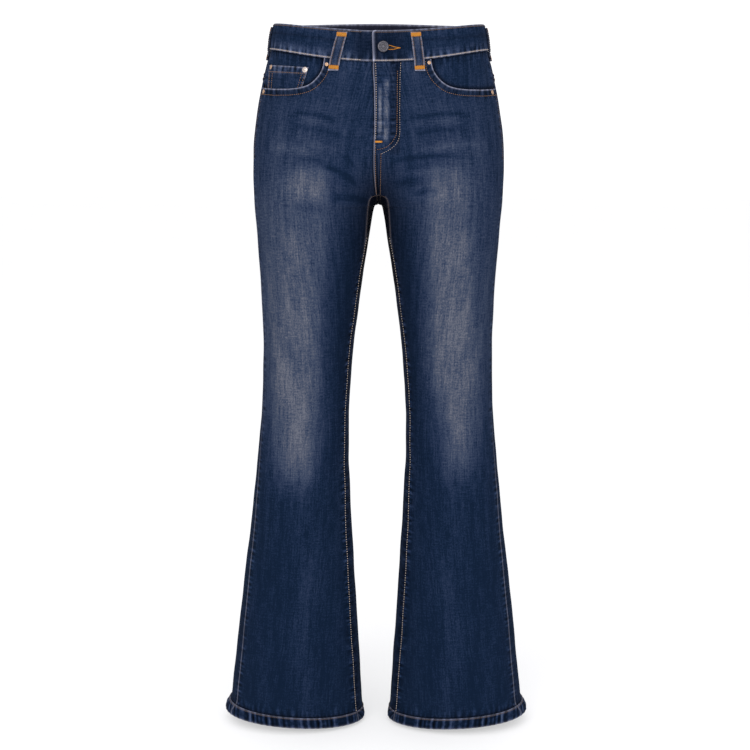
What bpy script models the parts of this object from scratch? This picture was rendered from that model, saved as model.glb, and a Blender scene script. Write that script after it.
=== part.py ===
import math
from functools import lru_cache

import bpy
import numpy as np

# Bootcut jeans, filled out and hollow. Metres; x to the wearer's left, y to the back, z up.
# The origin is the middle of the waist, at half the height of the waistband.

CLOTH = 0.0012
SEAM_GAP = 0.0003
LAYER_GAP = 0.0008
SEAT_GAP = 0.0003
COIN_DEPTH = CLOTH + LAYER_GAP
COIN_THICK = 0.0009

BAND_TOP = 0.0204
BAND_LOW = -0.0163
BAND_PROUD = 0.0008
BAND_THICK = 0.0028
PANEL_TOP = BAND_LOW - SEAM_GAP
OVER_END = 0.0085
UNDER_END = 0.030

CROTCH = -0.2355
CROTCH_Y = 0.010

HEM_LOW = -1.0170
HEM_TOP = -1.0000
PANEL_LOW = HEM_TOP + SEAM_GAP
HEM_TILT = 0.0066
HEM_PROUD = 0.0004
HEM_THICK = 0.0030

FLY_SHIFT = 0.005
FLY_FOOT = -0.140

LOOP_WIDTH = 0.0140
LOOP_THICK = 0.0012
LOOP_STAND = 0.0070

RIVET_HEIGHT = 0.0017
BUTTON_RADIUS = 0.0084
BUTTON_HEIGHT = 0.0040

# Girth of one half of the body, then of one leg, by height.
GIRTH_COLUMNS = ("level", "outer", "side_y", "front_x", "front_y", "back_x", "back_y", "square", "seam")
GIRTH = (
    (0.030, 0.1500, 0.002, 0.012, -0.0830, 0.020, 0.0870, 2.25, 12.0),
    (0.000, 0.1543, 0.002, 0.014, -0.0862, 0.026, 0.0905, 2.25, 12.0),
    (-0.020, 0.1568, 0.002, 0.016, -0.0885, 0.030, 0.0930, 2.25, 12.0),
    (-0.040, 0.1622, 0.002, 0.019, -0.0908, 0.038, 0.0972, 2.25, 12.5),
    (-0.060, 0.1668, 0.002, 0.023, -0.0928, 0.045, 0.1020, 2.25, 13.0),
    (-0.080, 0.1713, 0.002, 0.027, -0.0943, 0.051, 0.1065, 2.25, 13.0),
    (-0.100, 0.1748, 0.003, 0.032, -0.0955, 0.056, 0.1105, 2.25, 13.0),
    (-0.130, 0.1790, 0.003, 0.040, -0.0967, 0.064, 0.1150, 2.25, 13.5),
    (-0.160, 0.1818, 0.004, 0.050, -0.0966, 0.071, 0.1165, 2.24, 14.0),
    (-0.190, 0.1825, 0.005, 0.061, -0.0952, 0.077, 0.1140, 2.23, 14.5),
    (-0.215, 0.1818, 0.006, 0.071, -0.0932, 0.082, 0.1090, 2.21, 15.0),
    (-0.236, 0.1809, 0.008, 0.078, -0.0910, 0.087, 0.1030, 2.20, 15.5),
    (-0.260, 0.1792, 0.009, 0.083, -0.0888, 0.091, 0.0970, 2.19, 16.0),
    (-0.310, 0.1756, 0.010, 0.090, -0.0845, 0.096, 0.0895, 2.17, 17.0),
    (-0.370, 0.1719, 0.008, 0.097, -0.0805, 0.100, 0.0835, 2.15, 18.0),
    (-0.430, 0.1698, 0.006, 0.102, -0.0768, 0.103, 0.0770, 2.13, 19.0),
    (-0.490, 0.1706, 0.004, 0.106, -0.0728, 0.106, 0.0710, 2.12, 20.0),
    (-0.550, 0.1735, 0.002, 0.109, -0.0690, 0.109, 0.0675, 2.12, 21.0),
    (-0.610, 0.1793, 0.001, 0.112, -0.0668, 0.112, 0.0668, 2.12, 22.0),
    (-0.700, 0.1888, 0.000, 0.115, -0.0660, 0.115, 0.0675, 2.12, 24.5),
    (-0.800, 0.2014, 0.000, 0.118, -0.0670, 0.118, 0.0690, 2.12, 26.5),
    (-0.900, 0.2132, 0.000, 0.121, -0.0685, 0.121, 0.0702, 2.12, 27.0),
    (-0.970, 0.2204, 0.000, 0.123, -0.0695, 0.123, 0.0710, 2.12, 27.0),
    (-0.994, 0.2230, 0.000, 0.124, -0.0700, 0.124, 0.0714, 2.12, 27.0),
    (-1.002, 0.2262, 0.000, 0.124, -0.0703, 0.124, 0.0717, 2.12, 27.0),
    (-1.010, 0.2312, 0.000, 0.125, -0.0706, 0.125, 0.0720, 2.12, 27.0),
    (-1.030, 0.2330, 0.000, 0.125, -0.0708, 0.125, 0.0722, 2.12, 27.0),
)

# The centre seam above the crotch, front and back.
RISE_COLUMNS = ("level", "front_y", "back_y")
RISE = (
    (0.030, -0.0830, 0.0865),
    (-0.060, -0.0927, 0.0995),
    (-0.100, -0.0951, 0.1060),
    (-0.140, -0.0955, 0.1095),
    (-0.165, -0.0915, 0.1075),
    (-0.185, -0.0825, 0.1010),
    (-0.205, -0.0660, 0.0860),
    (-0.218, -0.0480, 0.0690),
    (-0.226, -0.0330, 0.0540),
    (-0.231, -0.0190, 0.0400),
    (-0.2340, -0.0060, 0.0260),
    (-0.2355, 0.0100, 0.0100),
)

# The inside of the leg below the crotch, with how far the inseam lies to the front.
INSEAM_COLUMNS = ("level", "inner", "inner_y", "turn")
INSEAM = (
    (-0.2355, 0.0000, 0.010, 0.0),
    (-0.2363, 0.0034, 0.010, 0.1),
    (-0.2380, 0.0051, 0.010, 0.8),
    (-0.2430, 0.0068, 0.010, 3.0),
    (-0.2527, 0.0088, 0.010, 8.0),
    (-0.2819, 0.0132, 0.009, 17.5),
    (-0.3112, 0.0176, 0.008, 20.5),
    (-0.3407, 0.0221, 0.007, 21.8),
    (-0.3703, 0.0266, 0.006, 22.0),
    (-0.4001, 0.0303, 0.005, 22.3),
    (-0.4300, 0.0341, 0.004, 22.6),
    (-0.4600, 0.0372, 0.003, 22.8),
    (-0.4902, 0.0395, 0.002, 23.0),
    (-0.5206, 0.0411, 0.001, 23.3),
    (-0.5510, 0.0427, 0.000, 23.5),
    (-0.6124, 0.0429, 0.000, 23.7),
    (-0.6433, 0.0415, 0.000, 24.2),
    (-0.7056, 0.0386, 0.000, 26.0),
    (-0.7684, 0.0350, 0.000, 26.4),
    (-0.8319, 0.0315, 0.000, 26.3),
    (-0.8960, 0.0277, 0.000, 25.8),
    (-0.9607, 0.0236, 0.000, 24.6),
    (-0.9935, 0.0217, 0.000, 24.0),
    (-1.0100, 0.0190, 0.000, 24.0),
    (-1.0300, 0.0170, 0.000, 24.0),
)

# How far the rings sag at the front centre and rise at the back centre.
SAG_COLUMNS = ("level", "front_drop", "back_rise")
SAG = (
    (0.0300, 0.0118, 0.0055),
    (0.0204, 0.0123, 0.0055),
    (-0.0163, 0.0180, 0.0050),
    (-0.0600, 0.0160, 0.0040),
    (-0.1200, 0.0085, 0.0020),
    (-0.1800, 0.0020, 0.0005),
    (-0.2200, 0.0000, 0.0000),
    (-1.0300, 0.0000, 0.0000),
)

# Front pocket edge, from the waistband to the side seam.
POCKET_COLUMNS = ("x", "z")
POCKET_EDGE = (
    (0.0741, -0.0300),
    (0.0748, -0.0375),
    (0.0765, -0.0445),
    (0.0817, -0.0535),
    (0.0897, -0.0618),
    (0.0986, -0.0673),
    (0.1103, -0.0702),
    (0.1255, -0.0716),
    (0.1450, -0.0716),
    (0.1590, -0.0706),
)
POCKET_SHIFT = 0.0020

# Largest folds: side of the body, face, middle, half length, half width, tilt and depth.
FOLD_COLUMNS = ("side", "face", "x", "z", "half_long", "half_wide", "tilt", "depth")
FOLDS = (
    (-1, -1, 0.060, -0.160, 0.055, 0.011, -14.0, -0.0012),
    (-1, -1, 0.070, -0.192, 0.062, 0.012, -6.0, 0.0014),
    (-1, -1, 0.062, -0.216, 0.052, 0.010, 3.0, -0.0014),
    (-1, -1, 0.058, -0.243, 0.046, 0.011, 14.0, -0.0012),
    (1, -1, 0.064, -0.154, 0.058, 0.011, 16.0, -0.0011),
    (1, -1, 0.066, -0.184, 0.060, 0.012, 8.0, 0.0013),
    (1, -1, 0.066, -0.210, 0.056, 0.010, -2.0, -0.0014),
    (1, -1, 0.056, -0.238, 0.044, 0.011, -12.0, -0.0013),
    (-1, -1, 0.095, -0.520, 0.050, 0.016, -8.0, -0.0010),
    (1, -1, 0.110, -0.545, 0.052, 0.016, 10.0, -0.0011),
    (-1, 1, 0.075, -0.262, 0.056, 0.012, 12.0, -0.0016),
    (-1, 1, 0.090, -0.300, 0.050, 0.013, 8.0, -0.0013),
    (1, 1, 0.078, -0.266, 0.058, 0.012, -10.0, -0.0016),
    (1, 1, 0.086, -0.308, 0.048, 0.013, -14.0, -0.0012),
    (-1, 1, 0.106, -0.500, 0.054, 0.012, 6.0, -0.0018),
    (-1, 1, 0.104, -0.545, 0.050, 0.012, -5.0, -0.0015),
    (1, 1, 0.104, -0.508, 0.056, 0.012, -7.0, -0.0018),
    (1, 1, 0.108, -0.556, 0.050, 0.012, 4.0, -0.0014),
)

# Belt loops: middle at the top and at the foot.
LOOP_COLUMNS = ("name", "top_x", "top_z", "low_x", "low_z")
FRONT_LOOPS = (
    ("belt_loop_front_right", -0.0510, 0.0050, -0.0610, -0.0460),
    ("belt_loop_front_left", 0.0512, 0.0055, 0.0562, -0.0460),
)
SIDE_LOOP_TOP = 0.0150
SIDE_LOOP_LOW = -0.0360

# Rivets: middle on the front, and what they sit on.
RIVET_COLUMNS = ("name", "x", "z", "radius", "layer")
RIVETS = (
    ("rivet_pocket_upper_right", -0.0722, -0.0384, 0.0026, "front"),
    ("rivet_pocket_upper_left", 0.0690, -0.0355, 0.0026, "front"),
    ("rivet_pocket_lower_right", -0.1600, -0.0750, 0.0033, "front"),
    ("rivet_pocket_lower_left", 0.1600, -0.0750, 0.0033, "front"),
    ("rivet_coin_outer", -0.1500, -0.0415, 0.0036, "coin"),
    ("rivet_coin_inner", -0.1030, -0.0447, 0.0043, "coin"),
)

PANEL_ROWS = (-0.092, -0.108, -0.124, -0.140, -0.158, -0.174, -0.188, -0.200, -0.210, -0.218, -0.2245,
              -0.2295, -0.2330, -0.2350, -0.2363, -0.2385, -0.2440, -0.2530, -0.2660, -0.2840, -0.308,
              -0.340, -0.378, -0.420, -0.464, -0.508, -0.552, -0.600, -0.655, -0.715, -0.780, -0.845,
              -0.905, -0.955, -0.985)
FRONT_COLUMNS = (0.0, 0.10, 0.20, 0.30, 0.372, 0.392, 0.425, 0.47, 0.54, 0.63, 0.73, 0.84, 0.93, 1.0)
BACK_COLUMNS = (0.0, 0.09, 0.19, 0.29, 0.39, 0.49, 0.59, 0.69, 0.78, 0.87, 0.94, 1.0)


def monotone(table, column):
    # Smooth curve through a column of a table that never overshoots its rows.
    order = sorted(table)
    xs = np.array([row[0] for row in order], dtype=float)
    ys = np.array([row[column] for row in order], dtype=float)
    step = np.diff(xs)
    slope = np.diff(ys) / step
    ends = np.concatenate(([slope[0]], slope, [slope[-1]]))
    left = ends[:-1]
    right = ends[1:]
    same = left * right > 0
    total = np.where(same, left + right, 1.0)
    tangent = np.where(same, 2.0 * left * right / total, 0.0)

    def value(x):
        x = min(max(x, xs[0]), xs[-1])
        i = int(min(np.searchsorted(xs, x, side="right") - 1, len(step) - 1))
        h = step[i]
        t = (x - xs[i]) / h
        a = (1 + 2 * t) * (1 - t) ** 2 * ys[i]
        b = t * (1 - t) ** 2 * h * tangent[i]
        c = t * t * (3 - 2 * t) * ys[i + 1]
        d = t * t * (t - 1) * h * tangent[i + 1]
        return float(a + b + c + d)

    return value


def curves(table, columns):
    return {name: monotone(table, i) for i, name in enumerate(columns) if i}


girth = curves(GIRTH, GIRTH_COLUMNS)
rise = curves(RISE, RISE_COLUMNS)
inseam = curves(INSEAM, INSEAM_COLUMNS)
sag = curves(SAG, SAG_COLUMNS)


def ease(low, high, x):
    t = min(max((x - low) / (high - low), 0.0), 1.0)
    return t * t * (3 - 2 * t)


def by_length(points):
    steps = np.hypot(np.diff(points[:, 0]), np.diff(points[:, 1]))
    length = np.concatenate(([0.0], np.cumsum(steps)))
    return length, points


@lru_cache(maxsize=None)
def ring(level):
    # One half of the body or one leg at a height: the front arc, then the back arc.
    size = {name: value(level) for name, value in girth.items()}
    if level > CROTCH:
        inner = 0.0
        middle = CROTCH_Y
        front_end = rise["front_y"](level)
        back_end = rise["back_y"](level)
        turn = 0.0
    else:
        inner = inseam["inner"](level)
        middle = inseam["inner_y"](level)
        front_end = middle
        back_end = middle
        turn = math.radians(inseam["turn"](level))
    power = 2.0 / size["square"]
    seam = math.radians(size["seam"])

    def inner_arc(edge_x, edge_y, end_y, angles):
        reach = min((end_y - middle) / (edge_y - middle), 0.9998)
        full = math.acos(reach)
        wide = (edge_x - inner) / math.sin(full)
        t = full * angles
        return np.column_stack((edge_x - wide * np.sin(t), middle + (edge_y - middle) * np.cos(t)))

    def outer_arc(edge_x, edge_y, t):
        x = edge_x + (size["outer"] - edge_x) * np.cos(t) ** power
        y = size["side_y"] + (edge_y - size["side_y"]) * np.sin(t) ** power
        return np.column_stack((x, y))

    quarter = 0.5 * math.pi
    near = np.linspace(1.0 - turn / quarter, 0.0, 28)
    front_in = inner_arc(size["front_x"], size["front_y"], front_end, near)
    front_out = outer_arc(size["front_x"], size["front_y"], np.linspace(quarter, seam, 40)[1:])
    side = outer_arc(size["front_x"], size["front_y"], np.linspace(seam, 0.0, 12))
    back_out = outer_arc(size["back_x"], size["back_y"], np.linspace(0.0, quarter, 44)[1:])
    back_in = inner_arc(size["back_x"], size["back_y"], back_end, np.linspace(0.0, 1.0, 28)[1:])
    parts = [side, back_out, back_in]
    if turn > 0:
        far = np.linspace(1.0, 1.0 - turn / quarter, 8)[1:]
        parts.append(inner_arc(size["front_x"], size["front_y"], front_end, far))
    front = by_length(np.vstack((front_in, front_out)))
    back = by_length(np.vstack(parts))
    return front, back, size, inner


def lifted(level, x, y, size, inner):
    # Waistline dip and hem slant.
    wide = max(1.0 - (x / size["outer"]) ** 2, 0.0) ** 1.2
    if y < size["side_y"]:
        z = level - sag["front_drop"](level) * wide
    else:
        z = level + sag["back_rise"](level) * wide
    if level < -0.90:
        half = 0.5 * (size["outer"] - inner)
        middle = 0.5 * (size["outer"] + inner)
        z += HEM_TILT * ease(0.90, 0.995, -level) * (x - middle) / half
    return z


def plain_point(level, along):
    # along runs 0 at the front centre or inseam, 1 at the side seam, 2 at the back centre or inseam.
    front, back, size, inner = ring(level)
    length, points = front if along <= 1.0 else back
    reach = (along if along <= 1.0 else along - 1.0) * length[-1]
    x = float(np.interp(reach, length, points[:, 0]))
    y = float(np.interp(reach, length, points[:, 1]))
    return np.array((x, y, lifted(level, x, y, size, inner)))


def fold_depth(side, x, y, z):
    total = 0.0
    for row in FOLDS:
        fold = dict(zip(FOLD_COLUMNS, row))
        if fold["side"] != side or fold["face"] * y < 0:
            continue
        turn = math.radians(fold["tilt"])
        dx = x - fold["x"]
        dz = z - fold["z"]
        along = dx * math.cos(turn) + dz * math.sin(turn)
        across = -dx * math.sin(turn) + dz * math.cos(turn)
        reach = abs(along) / fold["half_long"]
        if reach < 1.0:
            total += fold["depth"] * (1 - reach * reach) ** 2 * math.exp(-(across / fold["half_wide"]) ** 2)
    return total


@lru_cache(maxsize=None)
def surface(level, along, side):
    # Point and outward direction of the cloth on one side of the body.
    mirror = 1.0
    if along < 0:
        along = -along
        mirror = -1.0
    if along > 2.0:
        along = 4.0 - along
        mirror = -mirror
    if along < 0:
        along = -along
        mirror = -mirror
    point = plain_point(level, along)
    step = 0.006
    low = max(along - step, 0.0 if along <= 1.0 else 1.0)
    high = min(along + step, 2.0 if along > 1.0 else 1.0)
    round_way = plain_point(level, high) - plain_point(level, low)
    rise_step = 0.0006 if abs(level - CROTCH) < 0.004 else 0.002
    upward = plain_point(level + rise_step, along) - plain_point(level - rise_step, along)
    out = np.cross(round_way, upward)
    out = out / np.linalg.norm(out)
    if level > -0.17 and point[0] < 0.012:
        out[0] = out[0] * ease(0.0, 0.012, point[0])
        out = out / np.linalg.norm(out)
    point = point + out * fold_depth(int(side * mirror), point[0], point[1], point[2])
    flip = np.array((side * mirror, 1.0, 1.0))
    return point * flip, out * flip


def front_length(level):
    return float(ring(level)[0][0][-1])


def back_length(level):
    return float(ring(level)[1][0][-1])


def place(x, z, face):
    # Height and place along the cloth for a point seen from the front or from the back.
    mirror = -1.0 if x < 0 else 1.0
    x = abs(x)
    level = z
    along = 0.0
    for _ in range(14):
        front, back, size, inner = ring(round(level, 6))
        length, points = front if face < 0 else back
        start = 0 if face < 0 else int(np.argmax(points[:, 0]))
        xs = points[start:, 0]
        ls = length[start:]
        if face > 0:
            reach = float(np.interp(x, xs[::-1], ls[::-1]))
        else:
            reach = float(np.interp(x, xs, ls))
        along = reach / length[-1] + (0.0 if face < 0 else 1.0)
        here = plain_point(round(level, 6), along)
        level += z - here[2]
    return round(level, 6), along, mirror


def paint(name, colour, metallic, rough):
    material = bpy.data.materials.new(name)
    material.use_nodes = True
    shader = material.node_tree.nodes["Principled BSDF"]
    shader.inputs["Base Color"].default_value = (*colour, 1.0)
    shader.inputs["Metallic"].default_value = metallic
    shader.inputs["Roughness"].default_value = rough
    material.diffuse_color = (*colour, 1.0)
    return material


def solid(name, verts, faces, material):
    verts = np.asarray(verts, dtype=float)
    volume = 0.0
    for face in faces:
        a = verts[face[0]]
        for i in range(1, len(face) - 1):
            volume += float(np.dot(a, np.cross(verts[face[i]], verts[face[i + 1]])))
    if volume < 0:
        faces = [tuple(reversed(face)) for face in faces]
    mesh = bpy.data.meshes.new(name)
    mesh.from_pydata([tuple(v) for v in verts], [], faces)
    mesh.materials.append(material)
    mesh.update()
    item = bpy.data.objects.new(name, mesh)
    bpy.context.collection.objects.link(item)
    return item


def shell(name, grid, outside, inside, side, material, shift=0.0, closed=False):
    # Wall over a grid of (height, along): an outer skin, an inner skin and its edges.
    rows = len(grid)
    columns = len(grid[0])
    skins = []
    for skin in (outside, inside):
        layer = []
        for i in range(rows):
            for j in range(columns):
                level, along = grid[i][j]
                point, out = surface(round(level, 6), round(along, 6), side)
                away = skin(i, j) if callable(skin) else skin
                moved = point + out * away
                moved[0] += shift * side
                layer.append(moved)
        skins.append(layer)
    verts = skins[0] + skins[1]
    base = rows * columns
    faces = []
    wrap = columns if closed else columns - 1
    for i in range(rows - 1):
        for j in range(wrap):
            k = (j + 1) % columns
            a, b, c, d = i * columns + j, i * columns + k, (i + 1) * columns + k, (i + 1) * columns + j
            faces.append((a, b, c, d))
            faces.append((base + d, base + c, base + b, base + a))
    for j in range(wrap):
        k = (j + 1) % columns
        faces.append((k, j, base + j, base + k))
        last = (rows - 1) * columns
        faces.append((last + j, last + k, base + last + k, base + last + j))
    if not closed:
        for i in range(rows - 1):
            a, b = i * columns, (i + 1) * columns
            faces.append((a, b, base + b, base + a))
            a, b = a + columns - 1, b + columns - 1
            faces.append((b, a, base + a, base + b))
    return solid(name, verts, faces, material)


def turned(name, middle, out, profile, count, material):
    # Round piece about a direction, from a table of radius and height.
    out = out / np.linalg.norm(out)
    side = np.cross(out, (0.0, 0.0, 1.0))
    side = side / np.linalg.norm(side)
    up = np.cross(side, out)
    verts = []
    for radius, height in profile[1:-1]:
        for i in range(count):
            a = 2 * math.pi * i / count
            verts.append(middle + out * height + (side * math.cos(a) + up * math.sin(a)) * radius)
    low = len(verts)
    verts.append(middle + out * profile[0][1])
    high = len(verts)
    verts.append(middle + out * profile[-1][1])
    faces = []
    rings = len(profile) - 2
    for r in range(rings - 1):
        for i in range(count):
            k = (i + 1) % count
            faces.append((r * count + i, r * count + k, (r + 1) * count + k, (r + 1) * count + i))
    for i in range(count):
        k = (i + 1) % count
        faces.append((low, k, i))
        faces.append((high, (rings - 1) * count + i, (rings - 1) * count + k))
    item = solid(name, verts, faces, material)
    for polygon in item.data.polygons:
        polygon.use_smooth = True
    return item


def fly_offset(level):
    return FLY_SHIFT * ease(FLY_FOOT - 0.018, FLY_FOOT, level)


def pocket_line(side):
    # Front pocket edge as heights against the place along the front.
    line = []
    for x, z in POCKET_EDGE:
        moved = x - side * POCKET_SHIFT * (1.0 - (x - 0.0741) / 0.0849)
        level, along, _ = place(moved, z, -1)
        line.append((along, level))
    line[0] = (line[0][0], PANEL_TOP)
    line.append((1.0, line[-1][1] + 0.0004))
    return np.array(line)


def front_panel(name, side, material):
    line = pocket_line(side)
    grid = []
    tops = []
    for f in FRONT_COLUMNS:
        top = PANEL_TOP if f < line[0, 0] else float(np.interp(f, line[:, 0], line[:, 1]))
        tops.append(top)
    first = PANEL_ROWS[0]
    for t in (0.0, 0.22, 0.48, 0.75):
        grid.append([(top + (first - top) * t, f) for top, f in zip(tops, FRONT_COLUMNS)])
    for level in PANEL_ROWS + (PANEL_LOW,):
        grid.append([(level, f) for f in FRONT_COLUMNS])
    spread = []
    for row in grid:
        new = []
        for level, f in row:
            length = front_length(round(level, 6))
            low = 0.5 * SEAM_GAP / length if level < CROTCH else 0.0
            start = -side * fly_offset(level) / length + low
            stop = 1.0 - 0.5 * SEAM_GAP / length
            reach = max(f, 0.0)
            keep = ease(0.0, 0.30, f)
            new.append((level, min(reach * keep + (start + (0.30 - start) * f / 0.30) * (1 - keep), stop)))
        spread.append(new)
    return shell(name, spread, 0.0, -CLOTH, side, material, shift=0.5 * SEAM_GAP)


def yoke_low(t):
    # Height of the yoke seam from the side (0) to the back centre (1).
    return -0.056 - 0.034 * t


def back_grid(rows_of, count):
    grid = []
    for t in count:
        grid.append(rows_of(t))
    return grid


def yoke(name, side, material):
    grid = []
    for t in (0.0, 0.34, 0.68, 1.0):
        row = []
        for f in BACK_COLUMNS:
            level = PANEL_TOP + (yoke_low(f) - PANEL_TOP) * t
            length = back_length(round(level, 6))
            row.append((level, 1.0 + 0.5 * SEAM_GAP / length + f * (1.0 - 0.5 * SEAM_GAP / length)))
        grid.append(row)
    return shell(name, grid, 0.0, -CLOTH, side, material, shift=0.5 * SEAM_GAP)


def back_panel(name, side, material):
    grid = []
    first = -0.108
    for t in (0.0, 0.5):
        row = []
        for f in BACK_COLUMNS:
            top = yoke_low(f) - SEAM_GAP
            row.append((top + (first - top) * t, f))
        grid.append(row)
    for level in PANEL_ROWS[1:] + (PANEL_LOW,):
        grid.append([(level, f) for f in BACK_COLUMNS])
    spread = []
    for row in grid:
        new = []
        for level, f in row:
            edge = 0.5 * SEAM_GAP / back_length(round(level, 6))
            far = edge if level < CROTCH else 0.0
            new.append((level, 1.0 + edge + f * (1.0 - edge - far)))
        spread.append(new)
    return shell(name, spread, 0.0, -CLOTH, side, material, shift=0.5 * SEAM_GAP)


def pocket_facing(name, side, depth, material):
    # Lies behind the front pocket edge, from the waistband down to the side seam.
    line = pocket_line(side)
    start = line[0, 0] - 0.06
    grid = []
    for t in (0.0, 0.3, 0.6, 0.82, 1.0):
        row = []
        for u in (0.0, 0.12, 0.24, 0.38, 0.52, 0.66, 0.8, 0.91, 1.0):
            f = start + (0.998 - start) * u
            low = float(np.interp(f, line[:, 0], line[:, 1])) - 0.020
            low = min(low, -0.052)
            row.append((PANEL_TOP + (low - PANEL_TOP) * t, f))
        grid.append(row)
    return shell(name, grid, -depth, -depth - 0.0010, side, material)


def coin_pocket(name, side, material):
    # Small pocket on the facing; its foot goes behind the front pocket edge.
    grid = []
    for t in (0.0, 0.33, 0.66, 1.0):
        row = []
        for u in (0.0, 0.2, 0.4, 0.58, 0.74, 0.88, 1.0):
            inner = 0.0985 + 0.0147 * t
            outer = 0.1545 + 0.0030 * t
            x = inner + (outer - inner) * u
            z = -0.0420 + 0.0045 * u
            z = z + (-0.0860 - z) * t
            level, along, _ = place(x, z, -1)
            row.append((level, along))
        grid.append(row)
    return shell(name, grid, -COIN_DEPTH, -COIN_DEPTH - COIN_THICK, side, material)


def back_pocket(name, side, material):
    grid = []
    for v in (0.0, 0.13, 0.26, 0.39, 0.52, 0.65, 0.78, 0.89, 1.0):
        row = []
        for u in (-1.0, -0.78, -0.55, -0.3, 0.0, 0.3, 0.55, 0.78, 1.0):
            half = 0.0650 - 0.0085 * v
            x = 0.0850 + 0.005 * v + half * u
            z = -0.1080 + 0.004 * u - 0.118 * v - 0.022 * v * (1 - abs(u))
            level, along, _ = place(x, z, 1)
            row.append((level, along))
        grid.append(row)
    return shell(name, grid, LAYER_GAP + 0.0011, LAYER_GAP + 0.0001, side, material)


def fly_layer(name, left_x, right_x, low_z, outside, thick, corner, material):
    # Layer behind the fly, square at the waist and rounded at its foot.
    grid = []
    for t in (0.0, 0.2, 0.42, 0.64, 0.82, 0.93, 1.0):
        z = -0.0360 + (low_z + 0.0360) * t
        cut = corner * (1.0 - math.sqrt(max(1.0 - ease(0.62, 1.02, t) ** 2, 0.0)))
        row = []
        for u in (0.0, 0.33, 0.67, 1.0):
            x = left_x + (right_x - cut - left_x) * u
            level, along, mirror = place(x, z, -1)
            if t == 0.0:
                level = PANEL_TOP
            row.append((level, along * mirror))
        grid.append(row)
    return shell(name, grid, -outside, -outside - thick, 1, material)


def waistband(name, material):
    top_length = front_length(BAND_TOP)
    low_length = front_length(BAND_LOW)
    places = [0.0, 0.016, 0.033]
    places += [0.06 + (1.0 - 0.06) * i / 10 for i in range(11)]
    places += [1.0 + i / 10 for i in range(1, 11)]
    places += [2.0 + i / 10 for i in range(1, 11)]
    places += [3.0 + 0.70 * i / 7 for i in range(1, 8)]
    places += [3.75, 3.80, 3.85, 3.90, 3.94, 4.0, 4.08, 4.0 + UNDER_END / top_length]
    grid = []
    for t in (0.0, 0.5, 1.0):
        level = BAND_TOP + (BAND_LOW - BAND_TOP) * t
        length = top_length + (low_length - top_length) * t
        over = (OVER_END + 0.0035 * (0.5 - t)) / length
        row = []
        for place_along in places:
            if place_along < 0.05:
                along = -over + (0.06 + over) * place_along / 0.06
            else:
                along = place_along
            row.append((level, along))
        grid.append(row)

    def tuck(j):
        return -(BAND_THICK + 0.0004) * ease(3.70, 3.92, places[j])

    return shell(name, grid, lambda i, j: BAND_PROUD + tuck(j),
                 lambda i, j: BAND_PROUD - BAND_THICK + tuck(j), 1, material)


LOOP_STEPS = (0.0, 0.10, 0.20, 0.34, 0.50, 0.66, 0.80, 0.90, 1.0)


def loop_away(t, top_level, low_level):
    # Distance of a belt loop from the cloth: seated at both ends, clear between them.
    level = top_level + (low_level - top_level) * t
    seat = SEAT_GAP + (BAND_PROUD if level > BAND_LOW - 0.004 else 0.0)
    arch = ease(0.10, 0.30, t) * (1.0 - ease(0.72, 0.90, t))
    return seat + (LOOP_STAND + BAND_PROUD - seat) * arch


def front_loop(row, material):
    loop = dict(zip(LOOP_COLUMNS, row))
    grid = []
    for t in LOOP_STEPS:
        x = loop["top_x"] + (loop["low_x"] - loop["top_x"]) * t
        z = loop["top_z"] + (loop["low_z"] - loop["top_z"]) * t
        line = []
        for u in (-0.5, 0.0, 0.5):
            level, along, mirror = place(x + u * LOOP_WIDTH, z, -1)
            line.append((level, along))
        grid.append(line)
    side = -1 if loop["top_x"] < 0 else 1
    top_level = grid[0][1][0]
    low_level = grid[-1][1][0]
    return shell(loop["name"], grid, lambda i, j: loop_away(LOOP_STEPS[i], top_level, low_level) + LOOP_THICK,
                 lambda i, j: loop_away(LOOP_STEPS[i], top_level, low_level), side, material)


def round_loop(name, along, side, drop, material):
    # Belt loop at the side or at the back centre.
    grid = []
    top_level = SIDE_LOOP_TOP
    low_level = SIDE_LOOP_LOW - drop
    for t in LOOP_STEPS:
        level = top_level + (low_level - top_level) * t
        step = 0.5 * LOOP_WIDTH / (back_length(round(level, 6)))
        grid.append([(level, along - step), (level, along), (level, along + step)])
    return shell(name, grid, lambda i, j: loop_away(LOOP_STEPS[i], top_level, low_level) + LOOP_THICK,
                 lambda i, j: loop_away(LOOP_STEPS[i], top_level, low_level), side, material)


def hem(name, side, material):
    count = 30
    columns = [2.0 * i / count for i in range(count)]
    grid = []
    for level in (HEM_TOP, 0.5 * (HEM_TOP + HEM_LOW), HEM_LOW):
        grid.append([(level, f) for f in columns])
    return shell(name, grid, HEM_PROUD, HEM_PROUD - HEM_THICK, side, material, shift=0.5 * SEAM_GAP, closed=True)


def rivet(row, material):
    item = dict(zip(RIVET_COLUMNS, row))
    level, along, mirror = place(item["x"], item["z"], -1)
    point, out = surface(level, round(along, 6), int(mirror))
    seat = SEAT_GAP
    if item["layer"] == "coin":
        seat = SEAT_GAP - COIN_DEPTH
    r = item["radius"]
    profile = ((0.0, seat), (r, seat), (r, seat + 0.0006), (0.75 * r, seat + 0.8 * RIVET_HEIGHT),
               (0.0, seat + RIVET_HEIGHT))
    return turned(item["name"], point, out, profile, 14, material)


def button(material):
    level, along, mirror = place(0.0076, -0.0139, -1)
    point, out = surface(level, round(along, 6), 1)
    seat = BAND_PROUD + SEAT_GAP
    r = BUTTON_RADIUS
    h = BUTTON_HEIGHT
    profile = ((0.0, seat), (0.62 * r, seat), (0.62 * r, seat + 0.30 * h), (r, seat + 0.42 * h),
               (r, seat + 0.72 * h), (0.86 * r, seat + h), (0.66 * r, seat + 0.92 * h),
               (0.60 * r, seat + 0.70 * h), (0.0, seat + 0.70 * h))
    return turned("button", point, out, profile, 24, material)


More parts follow.
